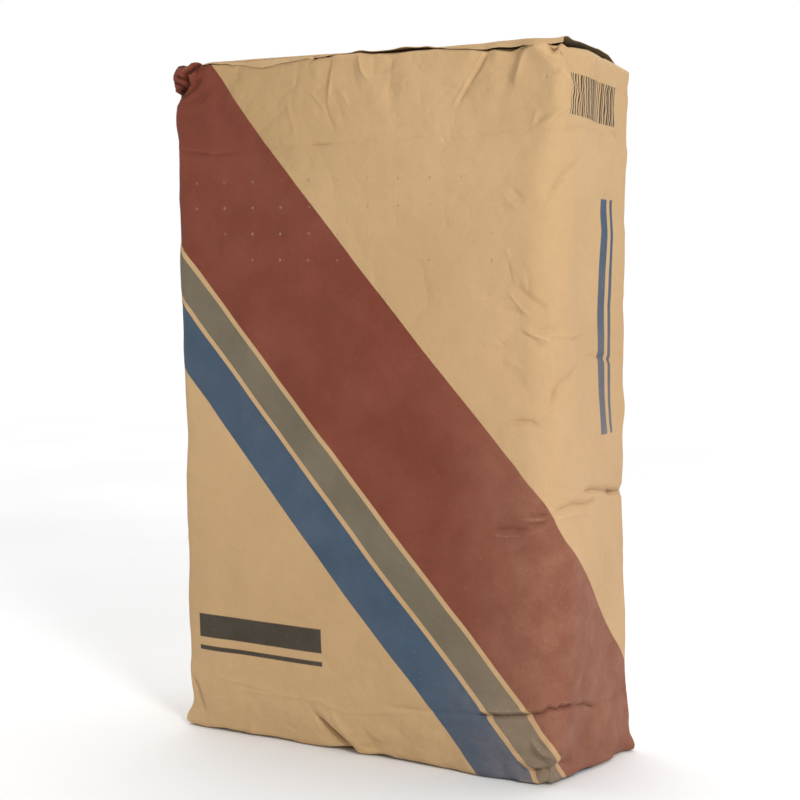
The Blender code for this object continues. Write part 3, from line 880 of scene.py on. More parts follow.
def paper_shape(mesh, settings, relief):
    """Move the vertices of a plain box onto the creased sack. Its wear and painted fold shading become an
    attribute.
    """
    h = settings.height
    p = points_of(mesh)
    q = pulls(p, filled_shape(p, settings), settings)
    set_points(mesh, q)
    outward = points_of(mesh, "normal")
    girth, inside = girth_of(p, settings)
    lift = sampled(relief, girth, p[:, 2])
    on_end = (p[:, 2] > h - 1e-6) | (p[:, 2] < 1e-6)
    lift *= np.where(on_end, ease(1.0 - inside / 0.014), 1.0)
    q += outward * lift[:, None]
    q[:, 2] = np.maximum(q[:, 2], 0.0)
    q += SEAT
    set_points(mesh, q)
    # ridges and rims are worn with a painted highlight; sunk places count below none, with painted shade
    fold_wear_and_shading = sampled(relief - blurred(relief, 16), girth, p[:, 2]) / MM
    rim = ease(1.0 - np.minimum(p[:, 2], h - p[:, 2]) / 0.006) * 0.5
    keep(mesh, "fold_wear_and_shading", fold_wear_and_shading + rim)


def sheet_mesh(name, grid):
    """A mesh of quads through a grid of points, given as an array of rows."""
    rows, columns = grid.shape[:2]
    index = np.arange(rows * columns).reshape(rows, columns)
    faces = np.stack((index[:-1, :-1], index[:-1, 1:], index[1:, 1:], index[1:, :-1]), -1).reshape(-1, 4)
    mesh = bpy.data.meshes.new(name)
    mesh.from_pydata(grid.reshape(-1, 3).tolist(), [], faces.tolist())
    return mesh


def sack_surface(p, settings, relief):
    """Points of the sack's paper at points of the plain box, without the bend at the rims."""
    q = pulls(p, filled_shape(p, settings), settings)
    girth, inside = girth_of(p, settings)
    lift = sampled(relief, girth, p[:, 2])
    q[:, 1] -= np.where(inside < 1e-6, lift, 0.0) * (p[:, 1] < 0.0)
    return q


def patch_relief(settings):
    """Heights of the top cover patch over the smooth block, in metres: rows go back, columns across."""
    rows = int(round((settings.depth + 0.010) / RASTER))
    columns = int(round((settings.width + 0.010) / RASTER))
    rng = np.random.RandomState(SEED + 9)
    height = 0.5 * cloud(rng, rows, columns, 34, 40)
    height += 0.45 * blurred(facet_field(rng, rows, columns, 17.0), 3)
    for points, depth, half_width, kind in PATCH_CREASES:
        crease(height, points, depth, half_width * SPREAD, kind)
    return height * MM * settings.relief


def pasted_patch(a, b, settings, relief):
    """Points of the top cover patch at places across the block (a) and back from its front edge (b).

    All of it lies on the block, and what is before the front edge hangs down the front wall.
    """
    d, h = settings.depth / 2, settings.height
    p = np.stack((a, -d + np.maximum(b, 0.0), h + np.minimum(b, 0.0)), -1)
    q = sack_surface(p.reshape(-1, 3), settings, relief).reshape(p.shape)
    outward = np.cross(np.gradient(q, axis=1), np.gradient(q, axis=0))
    outward /= np.maximum(np.linalg.norm(outward, axis=-1, keepdims=True), 1e-12)
    outward *= np.sign(outward[..., 2:] - outward[..., 1:2] + 1e-9)
    return q + outward * PATCH_GAP


def top_patch_grid(settings, relief):
    """The top cover patch: pasted down, but for its front strip on the right and its arched right end.

    Gives its points, and how each place bends, for the painted shade of its creases.
    """
    w, d, h = settings.width / 2, settings.depth / 2, settings.height
    x = np.linspace(PATCH_LEFT, w + 0.0005, PATCH_COLUMNS)
    edge = along(PATCH_EDGE, x)
    edge += 0.0004 * np.interp(x / MM, *ragged(*RAGGED_FRONT))
    back = PATCH_BACK + 0.0006 * np.interp(x / MM, *ragged(*RAGGED_BACK))
    t = np.linspace(0.0, 1.0, PATCH_ROWS)[:, None] ** 1.7
    b = edge[None, :] + t * (back - edge)[None, :]
    # the back right corner is cut on a slant
    a = np.broadcast_to(x, b.shape) - 0.006 * ease((b - 0.060) / 0.045) * ease((x - 0.100) / 0.057)[None, :]
    q = pasted_patch(a, b, settings, relief)
    # the strip that has come off along the front edge
    free = ease((x - STRIP_FROM) / (STRIP_TO - STRIP_FROM))[None, :]
    strip = free * ease(1.0 - np.abs(b) / STRIP_REACH)
    at_rim = np.stack((x, np.full(PATCH_COLUMNS, -d), np.full(PATCH_COLUMNS, h)), -1)
    rim_line = sack_surface(at_rim, settings, relief)
    soft = np.hanning(RIM_WINDOW) / np.hanning(RIM_WINDOW).sum()
    for axis in (1, 2):
        padded = np.pad(rim_line[:, axis], RIM_WINDOW // 2, mode="edge")
        rim_line[:, axis] = np.convolve(padded, soft, "valid")
    above_rim = np.broadcast_to(rim_line[:, 2] + along(PATCH_STRIP, x), a.shape)
    lifted = np.stack((a, rim_line[:, 1] + b, above_rim), -1)
    # what is past the rim hangs down just before the wall
    down = np.maximum(-b, 0.0)
    lifted[..., 1] += down * 0.75 - 0.0016 * free
    lifted[..., 2] -= down
    q = q * (1.0 - strip[..., None]) + lifted * strip[..., None]
    # the end that arches away
    arch = np.clip((x - ARCH_FROM) / (w - ARCH_FROM), 0.0, 1.0)[None, :] ** 3.0
    q[..., 2] += along(PATCH_ARCH, b) * arch
    for middle, reach, lift in PATCH_BUCKLES:
        near = np.exp(-(((x / MM - middle) / reach) ** 2))[None, :] * ease(1.0 - (b - edge[None, :]) / 0.010)
        q[..., 2] += lift * MM * near * 0.8
        q[..., 1] -= lift * MM * near * 0.5
    wrinkles = patch_relief(settings)
    # no wrinkle goes down into the block
    q[..., 2] += sampled(np.maximum(wrinkles, -0.0005), a + w, b) * ease((b + 0.002) / 0.012)
    fold_wear_and_shading = sampled(wrinkles - blurred(wrinkles, 16), a + w, b) / MM
    return q + SEAT, fold_wear_and_shading


def ragged(seed, low, high, step):
    """Places and random heights along an edge that was torn or cut by hand, in MM."""
    places = np.arange(low, high + step, step)
    return places, np.random.RandomState(seed).uniform(-1.0, 1.0, len(places))


def distance_to(line, points):
    """Distance of flat points from a line through several places."""
    nearest = np.full(len(points), 1e9)
    for a, b in zip(line[:-1], line[1:]):
        t = np.clip((points - a) @ (b - a) / ((b - a) @ (b - a)), 0.0, 1.0)
        nearest = np.minimum(nearest, np.linalg.norm(points - a - t[:, None] * (b - a), axis=1))
    return nearest


def evened(mesh, points):
    """Each point moved to the middle of itself and its neighbours."""
    edges = np.empty(len(mesh.edges) * 2, np.int32)
    mesh.edges.foreach_get("vertices", edges)
    edges = edges.reshape(-1, 2)
    total, near = points.copy(), np.ones(len(points))
    for a, b in ((0, 1), (1, 0)):
        np.add.at(total, edges[:, a], points[edges[:, b]])
        np.add.at(near, edges[:, a], 1.0)
    return total / near[:, None]


def corner_crumple(settings):
    """The top front left corner, crushed and twisted into a ball of folded paper."""
    w, d, h = settings.width / 2, settings.depth / 2, settings.height
    cage = bmesh.new()
    for centre, radii, turn in CRUMPLE_LOBES:
        made = bmesh.ops.create_icosphere(cage, subdivisions=4, radius=1.0)
        bmesh.ops.scale(cage, vec=[r * MM for r in radii], verts=made["verts"])
        bmesh.ops.rotate(cage, matrix=Matrix.Rotation(math.radians(turn), 3, "Y"), verts=made["verts"])
        corner = Vector((-w, -d, h)) + Vector(centre) * MM
        bmesh.ops.translate(cage, vec=corner, verts=made["verts"])
    mesh = bpy.data.meshes.new("corner_crumple")
    cage.to_mesh(mesh)
    cage.free()
    ball = bpy.data.objects.new("corner_crumple", mesh)
    bpy.context.scene.collection.objects.link(ball)
    solid = ball.modifiers.new("solid", "REMESH")
    solid.mode = "VOXEL"
    solid.voxel_size = CRUMPLE_CELL
    graph = bpy.context.evaluated_depsgraph_get()
    mesh = bpy.data.meshes.new_from_object(ball.evaluated_get(graph))
    bpy.data.objects.remove(ball)
    # flat facets with sharp folds between them
    rng = np.random.RandomState(SEED + 5)
    points = points_of(mesh)
    outward = points_of(mesh, "normal")
    for count, tilt, share in CRUMPLE_FACETS:
        chosen = rng.choice(len(points), count, replace=False)
        seeds, facing = points[chosen], outward[chosen] + rng.normal(0.0, tilt, (count, 3))
        facing /= np.linalg.norm(facing, axis=1, keepdims=True)
        nearest = np.argmin(np.linalg.norm(points[:, None, :] - seeds[None, :, :], axis=2), axis=1)
        off = np.einsum("ij,ij->i", points - seeds[nearest], facing[nearest])
        points -= facing[nearest] * (share * off)[:, None]
    points = evened(mesh, points)
    # the folds that face the front: sunk ones get painted shade, raised ones wear and a painted highlight
    crumple_fold_wear_and_shading = np.full(len(points), -0.30)
    flat = (points[:, (0, 2)] - (-w, h)) / MM
    front = ease((0.2 - outward[:, 1]) / 0.6)
    for line, depth, half_width in CRUMPLE_FOLDS:
        flank = front * np.clip(1.0 - distance_to(np.array(line, float), flat) / half_width, 0.0, 1.0) ** 1.5
        points[:, 1] += depth * MM * flank
        crumple_fold_wear_and_shading -= np.sign(depth) * (1.6 if depth > 0.0 else 1.2) * flank
    set_points(mesh, points + SEAT)
    # all of it has the print of one place near the corner
    layer = mesh.uv_layers.new(name="paper")
    on_stripe = np.tile((0.020, h - 0.020), len(mesh.loops))
    layer.data.foreach_set("uv", on_stripe.astype(np.float32))
    keep(mesh, "fold_wear_and_shading", crumple_fold_wear_and_shading)
    return mesh


def join(target, other):
    """Make other part of target's mesh."""
    with bpy.context.temp_override(active_object=target, selected_editable_objects=[target, other]):
        bpy.ops.object.join()


def show(obj):
    """Put an object into the scene as a piece of the sack."""
    bpy.context.scene.collection.objects.link(obj)
    obj.data.shade_smooth()
    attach(obj, "root")
    return obj


# Finishes


class Nodes:
    """Short names for the shader nodes of a material or a world."""

    def __init__(self, owner):
        owner.use_nodes = True
        self.owner = owner
        self.tree = owner.node_tree
        self.shader = self.tree.nodes.get("Principled BSDF") or self.tree.nodes["Background"]

    def add(self, kind, **values):
        node = self.tree.nodes.new(kind)
        for name, value in values.items():
            setattr(node, name, value)
        return node

    def link(self, source, target):
        if isinstance(source, bpy.types.NodeSocket):
            self.tree.links.new(source, target)
        else:
            target.default_value = source

    def set(self, **values):
        """Give the shader's own sockets their values, with _ in a socket's name for a space."""
        for name, value in values.items():
            self.shader.inputs[name.replace("_", " ")].default_value = value

    def math(self, operation, a, b=0.0, c=0.0, clamp=False):
        node = self.add("ShaderNodeMath", operation=operation, use_clamp=clamp)
        for value, socket in zip((a, b, c), node.inputs):
            self.link(value, socket)
        return node.outputs[0]

    def ramp(self, value, low, high, at_low=0.0, at_high=1.0):
        """0 at low, 1 at high, eased between, and the other way round where low is the greater."""
        node = self.add("ShaderNodeMapRange", interpolation_type="SMOOTHSTEP")
        for socket, setting in zip(node.inputs, (value, low, high, at_low, at_high)):
            self.link(setting, socket)
        return node.outputs["Result"]

    def span(self, value, low, high, edge=0.0004):
        """1 where value is between low and high."""
        rise = self.ramp(value, low - edge, low + edge)
        fall = self.ramp(value, high - edge, high + edge)
        return self.math("SUBTRACT", rise, fall, clamp=True)

    def field(self, girth, height, round_it, up_it, edge=0.0004):
        """1 on a part of the paper, given by its ends round the girth and up the height."""
        across = self.span(girth, *round_it, edge)
        return self.math("MULTIPLY", across, self.span(height, *up_it, edge))

    def mix(self, share, a, b, blend="MIX"):
        node = self.add("ShaderNodeMix", data_type="RGBA", blend_type=blend)
        self.link(share, node.inputs[0])
        self.link(a if isinstance(a, bpy.types.NodeSocket) else (*a, 1.0), node.inputs[6])
        self.link(b if isinstance(b, bpy.types.NodeSocket) else (*b, 1.0), node.inputs[7])
        return node.outputs[2]

    def noise(self, scale, detail=3.0, roughness=0.55, stretch=None, seed=0.0):
        """Noise on the object's own coordinates, in features a metre."""
        where = self.add("ShaderNodeTexCoord").outputs["Object"]
        if stretch:
            mapping = self.add("ShaderNodeMapping")
            self.link(where, mapping.inputs["Vector"])
            mapping.inputs["Scale"].default_value = stretch
            where = mapping.outputs["Vector"]
        node = self.add("ShaderNodeTexNoise", noise_dimensions="4D")
        self.link(where, node.inputs["Vector"])
        node.inputs["W"].default_value = seed
        node.inputs["Scale"].default_value = scale
        node.inputs["Detail"].default_value = detail
        node.inputs["Roughness"].default_value = roughness
        return node.outputs[0]

    def folds(self, scale, seed):
        """Soft fold lines where a smooth noise crosses its middle: heights of 0 to about 0.4."""
        level = self.math("SUBTRACT", self.noise(scale, 1.0, 0.4, seed=seed), 0.5)
        return self.math("ABSOLUTE", level)

    def bump(self, height, distance, below=None):
        """A normal with the height laid over the normal below it."""
        node = self.add("ShaderNodeBump")
        node.inputs["Strength"].default_value = 1.0
        node.inputs["Distance"].default_value = distance
        self.link(height, node.inputs["Height"])
        if below is not None:
            self.link(below, node.inputs["Normal"])
        return node.outputs[0]


def kraft_colour(n, kraft):
    """Brown paper: cloudy formation, lengthwise fibre streaks and a few dark specks."""
    cloudy = n.noise(6.0, 6.0, 0.62, seed=1.0)
    fine = n.noise(130.0, 4.0, 0.65, seed=2.0)
    fibres = n.noise(420.0, 2.0, 0.7, stretch=(1.0, 1.0, 0.22), seed=3.0)
    dark = tuple(c * k for c, k in zip(kraft, (0.940, 0.925, 0.900)))
    light = tuple(min(1.0, c * k) for c, k in zip(kraft, (1.035, 1.04, 1.055)))
    tone = n.mix(n.ramp(cloudy, 0.34, 0.66), dark, light)
    tone = n.mix(n.math("MULTIPLY", n.ramp(fine, 0.35, 0.70), 0.36), tone, dark)
    tone = n.mix(n.math("MULTIPLY", n.ramp(fibres, 0.52, 0.80), 0.30), tone, light)
    specks = n.ramp(n.noise(650.0, 1.0, 0.5, seed=4.0), 0.735, 0.79)
    return n.mix(n.math("MULTIPLY", specks, 0.55), tone, tuple(c * 0.35 for c in kraft))


def printed_kraft(settings):
    """The sack's paper with its stripes, side rules and bars."""
    n = Nodes(bpy.data.materials.new("printed_kraft"))
    uv = n.add("ShaderNodeUVMap", uv_map="paper").outputs[0]
    split = n.add("ShaderNodeSeparateXYZ")
    n.link(uv, split.inputs[0])
    girth, height = split.outputs[0], split.outputs[1]
    tone = kraft_colour(n, settings.kraft)
    # painted shade: a little darker towards the crushed corner
    painted_shade_top_left = n.math("MULTIPLY", n.ramp(height, 0.370, 0.450), n.ramp(girth, 0.230, 0.060))
    tone = n.mix(painted_shade_top_left, tone, (0.85, 0.84, 0.78), blend="MULTIPLY")
    wavy = n.math("MULTIPLY", n.math("SUBTRACT", n.noise(500.0, 2.0, seed=6.0), 0.5), 0.0004)
    # the stripes run both ways round the tube from the front to the seam in the back wall
    seam = 1.5 * settings.width + settings.depth + 0.004
    around = 2 * (settings.width + settings.depth)
    past_seam = n.math("GREATER_THAN", girth, seam)
    from_front = n.math("MULTIPLY_ADD", past_seam, -around, girth)
    fall = n.math("SUBTRACT", from_front, settings.width / 2)
    fall = n.math("MULTIPLY_ADD", fall, settings.stripe_slope, height)
    fall = n.math("ADD", fall, wavy)
    red, olive, blue = (n.span(fall, *ends) for ends in (RED_STRIPE, OLIVE_STRIPE, BLUE_STRIPE))
    # two upright rules on the right wall
    rules = n.math("ADD", *(n.field(girth, height, ends, SIDE_RULES_UP) for ends in SIDE_RULES))
    # plain bars at the top of the right wall
    crumpled = n.math("SUBTRACT", n.noise(110.0, 1.0, seed=15.0), 0.5)
    across = n.math("MULTIPLY_ADD", crumpled, 1.3, n.math("MULTIPLY", girth, BARS_TO_THE_METRE))
    widths = n.add("ShaderNodeTexWhiteNoise", noise_dimensions="1D")
    n.link(n.math("FLOOR", across), widths.inputs["W"])
    filled = n.math("MULTIPLY_ADD", widths.outputs["Value"], 0.40, 0.36)
    bars = n.math("LESS_THAN", n.math("FRACT", across), filled)
    bars = n.math("MULTIPLY", bars, n.field(girth, height, BARS_ROUND, BARS_UP, edge=0.0002))
    # a thick and a thin rule low on the front wall
    marks = n.math("ADD", *(n.field(girth, height, FRONT_RULES_ROUND, ends) for ends in FRONT_RULES_UP))
    black = n.math("MAXIMUM", bars, marks)
    # ink sits unevenly, is rubbed off along worn creases and carries pale dust
    fold_wear_and_shading = n.add("ShaderNodeAttribute", attribute_name="fold_wear_and_shading").outputs["Fac"]
    grain = n.noise(520.0, 3.0, 0.7, seed=7.0)
    rubbed = n.math("MULTIPLY", n.ramp(fold_wear_and_shading, 0.30, 0.95), n.ramp(grain, 0.42, 0.62))
    flecks = n.ramp(n.noise(900.0, 1.0, 0.6, seed=8.0), 0.70, 0.76)
    bare = n.math("MAXIMUM", n.math("MULTIPLY", rubbed, 0.75), n.math("MULTIPLY", flecks, 0.30))
    holds = n.math("SUBTRACT", 1.0, bare, clamp=True)
    for mask, ink in (
        (red, settings.red_ink),
        (olive, settings.olive_ink),
        (n.math("MAXIMUM", blue, rules), settings.blue_ink),
        (black, settings.black_ink),
    ):
        uneven = n.ramp(n.noise(26.0, 4.0, 0.6, seed=9.0), 0.30, 0.72)
        thin = tuple(min(1.0, c * 1.16 + 0.005) for c in ink)
        tone = n.mix(n.math("MULTIPLY", mask, holds), tone, n.mix(uneven, ink, thin))
    inked = n.math("MAXIMUM", n.math("MAXIMUM", red, olive), n.math("MAXIMUM", blue, black))
    dusty = n.ramp(n.noise(16.0, 5.0, 0.62, seed=10.0), 0.40, 0.72)
    dust = n.math("MULTIPLY", n.math("MULTIPLY_ADD", n.ramp(grain, 0.35, 0.65), 0.6, 0.4), dusty)
    tone = n.mix(n.math("MULTIPLY", dust, 0.03), tone, (0.66, 0.45, 0.32))
    # real dust and a painted sheen make the red pale low on the right of the front and on the right wall
    dust_and_painted_sheen = n.math("SUBTRACT", n.ramp(girth, 0.205, 0.320), n.ramp(girth, 0.425, 0.445))
    dust_and_painted_sheen = n.math("MULTIPLY", dust_and_painted_sheen, n.ramp(height, 0.400, 0.200))
    mottled = n.math("MULTIPLY_ADD", n.ramp(n.noise(60.0, 4.0, 0.6, seed=19.0), 0.36, 0.66), 0.07, 0.11)
    mottled = n.math("MULTIPLY_ADD", n.ramp(grain, 0.52, 0.70), 0.07, mottled)
    tone = n.mix(n.math("MULTIPLY", mottled, dust_and_painted_sheen), tone, (0.64, 0.39, 0.25))
    # needle pricks that let the air out while the sack is filled
    column = n.math("SUBTRACT", n.math("FRACT", n.math("MULTIPLY", girth, 1 / PRICK_STEP_ROUND)), 0.82)
    row = n.math("SUBTRACT", n.math("FRACT", n.math("MULTIPLY", height, 1 / PRICK_STEP_UP)), 0.85)
    far = n.math("MULTIPLY_ADD", n.math("POWER", row, 2.0), 0.6, n.math("POWER", column, 2.0))
    far = n.math("SQRT", far)
    zone = n.field(girth, height, PRICKS_ROUND, PRICKS_UP, edge=0.002)
    zone = n.math("MULTIPLY", zone, n.ramp(n.noise(24.0, 1.0, seed=14.0), 0.40, 0.62))
    # painted shade in each prick's hole, and a painted highlight on its lip
    painted_prick_shade = n.math("MULTIPLY", n.ramp(far, 0.026, 0.012), zone)
    lip = n.math("MULTIPLY", n.ramp(far, 0.06, 0.02), zone)
    tone = n.mix(n.math("MULTIPLY", lip, 0.30), tone, (0.70, 0.55, 0.36))
    tone = n.mix(n.math("MULTIPLY", painted_prick_shade, 0.8), tone, (0.08, 0.05, 0.03))
    # painted shade in sunk folds and a painted highlight on raised ones
    painted_crease_shade = n.math("MULTIPLY", n.ramp(fold_wear_and_shading, -0.22, -1.50), 0.80)
    tone = n.mix(painted_crease_shade, tone, (0.32, 0.18, 0.14), blend="MULTIPLY")
    painted_ridge_highlight = n.math("MULTIPLY", n.ramp(fold_wear_and_shading, 0.10, 0.70), 0.55)
    tone = n.mix(painted_ridge_highlight, tone, (1.20, 1.20, 1.19), blend="MULTIPLY")
    n.link(tone, n.shader.inputs["Base Color"])
    rough = n.math("MULTIPLY_ADD", inked, -0.05, 0.80)
    rough = n.math("MULTIPLY_ADD", n.math("SUBTRACT", grain, 0.5), 0.25, rough)
    n.link(rough, n.shader.inputs["Roughness"])
    n.set(Specular_IOR_Level=0.14, Sheen_Weight=0.04, Sheen_Roughness=0.5)
    # the paper's crinkle: large folds everywhere, small ones mostly over the folded ends
    body = n.span(height, 0.070, 0.430, 0.030)
    small = n.math("MULTIPLY_ADD", body, -0.75, 1.0)
    patchy = n.math("MULTIPLY", n.ramp(n.noise(14.0, 2.0, seed=16.0), 0.35, 0.70), small)
    normal = n.bump(n.folds(24.0, 17.0), 0.0060)
    normal = n.bump(n.math("MULTIPLY", n.folds(62.0, 18.0), patchy), 0.0040, below=normal)
    normal = n.bump(n.noise(34.0, 3.0, 0.5, seed=11.0), 0.0019, below=normal)
    normal = n.bump(n.noise(130.0, 3.0, 0.6, seed=12.0), 0.0009, below=normal)
    normal = n.bump(n.noise(460.0, 2.0, 0.6, seed=13.0), 0.00010, below=normal)
    normal = n.bump(lip, 0.0006, below=normal)
    # the glued overlap of the tube, down the back wall
    normal = n.bump(n.ramp(girth, seam - 0.0004, seam + 0.0004), 0.0005, below=normal)
    n.link(normal, n.shader.inputs["Normal"])
    return n.owner


def plain_kraft(name, colour, dusty=0.1):
    """Unprinted brown paper, with painted shade in its creases and on its pasted side."""
    n = Nodes(bpy.data.materials.new(name))
    tone = kraft_colour(n, colour)
    dust = n.ramp(n.noise(22.0, 5.0, 0.62, seed=20.0), 0.42, 0.75)
    tone = n.mix(n.math("MULTIPLY", dust, dusty), tone, (0.52, 0.43, 0.33))
    fold_wear_and_shading = n.add("ShaderNodeAttribute", attribute_name="fold_wear_and_shading").outputs["Fac"]
    # painted shade in sunk creases
    painted_crease_shade = n.math("MULTIPLY", n.ramp(fold_wear_and_shading, -0.12, -0.90), 0.70)
    tone = n.mix(painted_crease_shade, tone, (0.36, 0.22, 0.17), blend="MULTIPLY")
    # painted shade on the pasted side, strongest towards its open end
    inside = n.add("ShaderNodeAttribute", attribute_name="inside").outputs["Fac"]
    painted_underside_shade = n.mix(n.ramp(dust, 0.0, 1.0), (0.135, 0.105, 0.066), (0.105, 0.086, 0.060))
    tone = n.mix(inside, tone, painted_underside_shade)
    n.link(tone, n.shader.inputs["Base Color"])
    grain = n.noise(520.0, 3.0, 0.7, seed=21.0)
    n.link(n.math("MULTIPLY_ADD", n.math("SUBTRACT", grain, 0.5), 0.25, 0.82), n.shader.inputs["Roughness"])
    n.set(Specular_IOR_Level=0.3)
    normal = n.bump(n.folds(24.0, 25.0), 0.0050)
    normal = n.bump(n.noise(34.0, 3.0, 0.5, seed=22.0), 0.0014, below=normal)
    normal = n.bump(n.noise(120.0, 3.0, 0.6, seed=23.0), 0.0004, below=normal)
    normal = n.bump(n.noise(700.0, 2.0, 0.6, stretch=(1.0, 1.0, 0.5), seed=24.0), 0.00006, below=normal)
    n.link(normal, n.shader.inputs["Normal"])
    return n.owner


def cement_finish():
    """Fine dull grey powder with small lumps."""
    n = Nodes(bpy.data.materials.new("cement_powder"))
    lumps = n.noise(60.0, 5.0, 0.6, seed=30.0)
    tone = n.mix(n.ramp(lumps, 0.3, 0.7), (0.30, 0.30, 0.29), (0.42, 0.42, 0.40))
    n.link(tone, n.shader.inputs["Base Color"])
    n.link(n.ramp(lumps, -1.0, 1.2), n.shader.inputs["Roughness"])
    normal = n.bump(n.noise(400.0, 4.0, 0.7, seed=31.0), 0.0008)
    n.link(normal, n.shader.inputs["Normal"])
    return n.owner


# Operators


class SACK_OT_paper(bpy.types.Operator):
    """Make the creased and printed paper of the sack"""

    bl_idname = "sack.paper"
    bl_label = "Paper sack"

    def execute(self, context):
        settings = context.scene.cement_sack
        relief = relief_map(settings)
        mesh = plain_box(settings, PAPER_SQUARES, PAPER_LEVELS)
        refine(mesh, settings)
        paper_shape(mesh, settings, relief)
        sack = show(bpy.data.objects.new("sack_paper", mesh))
        ball = show(bpy.data.objects.new("corner_crumple", corner_crumple(settings)))
        join(sack, ball)
        sack.data.materials.clear()
        sack.data.materials.append(printed_kraft(settings))
        sack.data.shade_smooth()
        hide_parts("paper_sack")
        return {"FINISHED"}


class SACK_OT_filling(bpy.types.Operator):
    """Make the powder inside the paper"""

    bl_idname = "sack.filling"
    bl_label = "Cement filling"

    def execute(self, context):
        settings = context.scene.cement_sack
        mesh = plain_box(settings, POWDER_SQUARES, POWDER_LEVELS)
        p = points_of(mesh)
        p[:, 2] = np.minimum(p[:, 2], settings.height - POWDER_HEADROOM)
        middle = np.array((0.0, 0.0, settings.height / 2))
        q = middle + (filled_shape(p, settings) - middle) * np.array(POWDER_SHARE)
        set_points(mesh, q + SEAT)
        mesh.materials.append(cement_finish())
        powder = show(bpy.data.objects.new("cement_powder", mesh))
        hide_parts("cement_fill")
        return {"FINISHED"}


class SACK_OT_patches(bpy.types.Operator):
    """Finish the pasted cover patches and the valve sleeve"""

    bl_idname = "sack.patches"
    bl_label = "Cover patches and valve"

    def execute(self, context):
        settings = context.scene.cement_sack
        patch = plain_kraft("patch_kraft", tuple(c * 0.95 for c in settings.kraft))
        sleeve = plain_kraft("sleeve_kraft", tuple(c * 0.98 for c in settings.kraft), dusty=0.5)
        for name, finish in (("bottom_cover_patch", patch), ("valve_sleeve", sleeve)):
            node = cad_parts[name]
            node.data.materials.clear()
            node.data.materials.append(finish)
        grid, fold_wear_and_shading = top_patch_grid(settings, relief_map(settings))
        sheet = sheet_mesh("top_patch_paper", grid)
        keep(sheet, "fold_wear_and_shading", fold_wear_and_shading)
        top = show(bpy.data.objects.new("top_patch_paper", sheet))
        thick = top.modifiers.new("thick", "SOLIDIFY")
        thick.thickness = PATCH_THICKNESS
        thick.offset = 1.0
        graph = bpy.context.evaluated_depsgraph_get()
        solid = bpy.data.meshes.new_from_object(top.evaluated_get(graph))
        top.modifiers.clear()
        top.data = solid
        # the solid's first points are on its outer side, and the others on its pasted side, which gets
        # painted shade
        across = (points_of(solid)[:, 0] - UNDERSIDE_SHADE_FROM) / (UNDERSIDE_SHADE_TO - UNDERSIDE_SHADE_FROM)
        inside = np.clip(across, UNDERSIDE_SHADE_LEAST, 1.0)
        inside[: len(sheet.vertices)] = 0.0
        keep(solid, "inside", inside)
        solid.materials.append(patch)
        top.data.shade_smooth()
        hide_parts("top_cover_patch")
        return {"FINISHED"}


def area_light(name, place, aim, size, power):
    """A square light at a place, turned to what it is aimed at."""
    data = bpy.data.lights.new(name, "AREA")
    data.shape = "SQUARE"
    data.size = size
    data.energy = power
    light = bpy.data.objects.new(name, data)
    light.location = place
    light.rotation_euler = (Vector(aim) - Vector(place)).to_track_quat("-Z", "Y").to_euler()
    bpy.context.scene.collection.objects.link(light)


def studio_floor():
    """A pale round floor."""
    bpy.ops.mesh.primitive_circle_add(vertices=128, radius=FLOOR_RADIUS, fill_type="NGON")
    floor = bpy.context.active_object
    floor.name = "studio_floor"
    n = Nodes(bpy.data.materials.new("studio_floor"))
    tone = n.mix(n.ramp(n.noise(3.0, 3.0, seed=40.0), 0.3, 0.7), (0.80, 0.80, 0.80), (0.83, 0.83, 0.83))
    n.link(tone, n.shader.inputs["Base Color"])
    n.set(Roughness=0.9, Specular_IOR_Level=0.1)
    floor.data.materials.append(n.owner)
    return floor


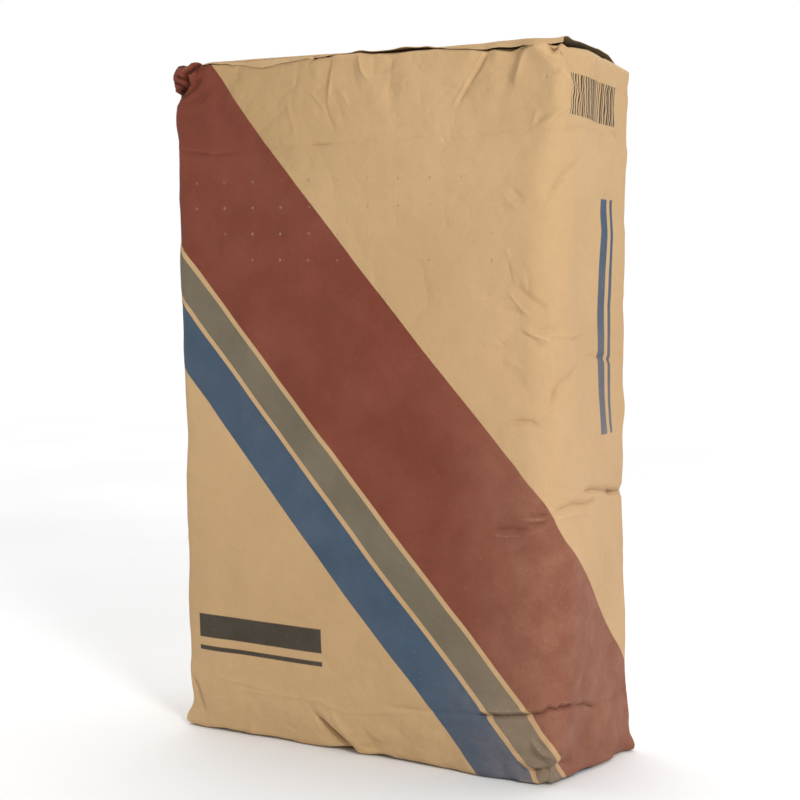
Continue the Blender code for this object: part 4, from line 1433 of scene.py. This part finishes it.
def studio_world():
    """White light all round, brighter from above and behind, with a pale band behind the floor's far edge."""
    n = Nodes(bpy.data.worlds.new("studio"))
    where = n.add("ShaderNodeTexCoord").outputs["Generated"]
    toward = n.add("ShaderNodeVectorMath", operation="DOT_PRODUCT")
    n.link(where, toward.inputs[0])
    n.link(BRIGHT_SIDE, toward.inputs[1])
    split = n.add("ShaderNodeSeparateXYZ")
    n.link(where, split.inputs[0])
    bright = n.ramp(toward.outputs["Value"], -0.3, 0.7, 0.21, 1.0)
    band = n.ramp(split.outputs[2], 0.05, 0.22, 0.80, 0.0)
    n.set(Color=(1.0, 1.0, 1.0, 1.0))
    n.link(n.math("MAXIMUM", bright, band), n.shader.inputs["Strength"])
    return n.owner


def photo_camera():
    """The camera that took the photograph."""
    data = bpy.data.cameras.new("camera")
    data.sensor_width = SENSOR
    data.lens = FOCAL_PIXELS / IMAGE_PIXELS * SENSOR
    camera = bpy.data.objects.new("camera", data)
    camera.location = (CAMERA_PLACE[0] + MIDDLE.x, CAMERA_PLACE[1] + MIDDLE.y, CAMERA_PLACE[2])
    camera.rotation_euler = (math.pi / 2 - math.radians(CAMERA_PITCH), 0.0, math.radians(CAMERA_YAW))
    bpy.context.scene.collection.objects.link(camera)
    return camera


class SACK_OT_stage(bpy.types.Operator):
    """Make the floor, the light and the camera"""

    bl_idname = "sack.stage"
    bl_label = "Stage"

    def execute(self, context):
        scene = context.scene
        scene.view_settings.view_transform = "Standard"
        studio_floor()
        scene.world = studio_world()
        for name, light in LIGHTS.items():
            area_light(name, *light)
        scene.camera = photo_camera()
        return {"FINISHED"}


class SACK_PT_panel(bpy.types.Panel):
    """The sack's settings and steps in the sidebar"""

    bl_label = "Cement sack"
    bl_idname = "SACK_PT_panel"
    bl_space_type = "VIEW_3D"
    bl_region_type = "UI"
    bl_category = "Sack"

    def draw(self, context):
        settings = context.scene.cement_sack
        for name in settings.bl_rna.properties.keys():
            if name not in {"rna_type", "name"}:
                self.layout.prop(settings, name)
        for step in STEPS:
            self.layout.operator(step.bl_idname)


STEPS = (SACK_OT_paper, SACK_OT_filling, SACK_OT_patches, SACK_OT_stage)
CLASSES = (SackSettings, *STEPS, SACK_PT_panel)


def register():
    for made in CLASSES:
        bpy.utils.register_class(made)
    bpy.types.Scene.cement_sack = PointerProperty(type=SackSettings)


def unregister():
    del bpy.types.Scene.cement_sack
    for made in reversed(CLASSES):
        bpy.utils.unregister_class(made)


def main():
    register()
    bpy.ops.sack.paper()
    bpy.ops.sack.filling()
    bpy.ops.sack.patches()
    bpy.ops.sack.stage()


if __name__ == "__main__":
    main()
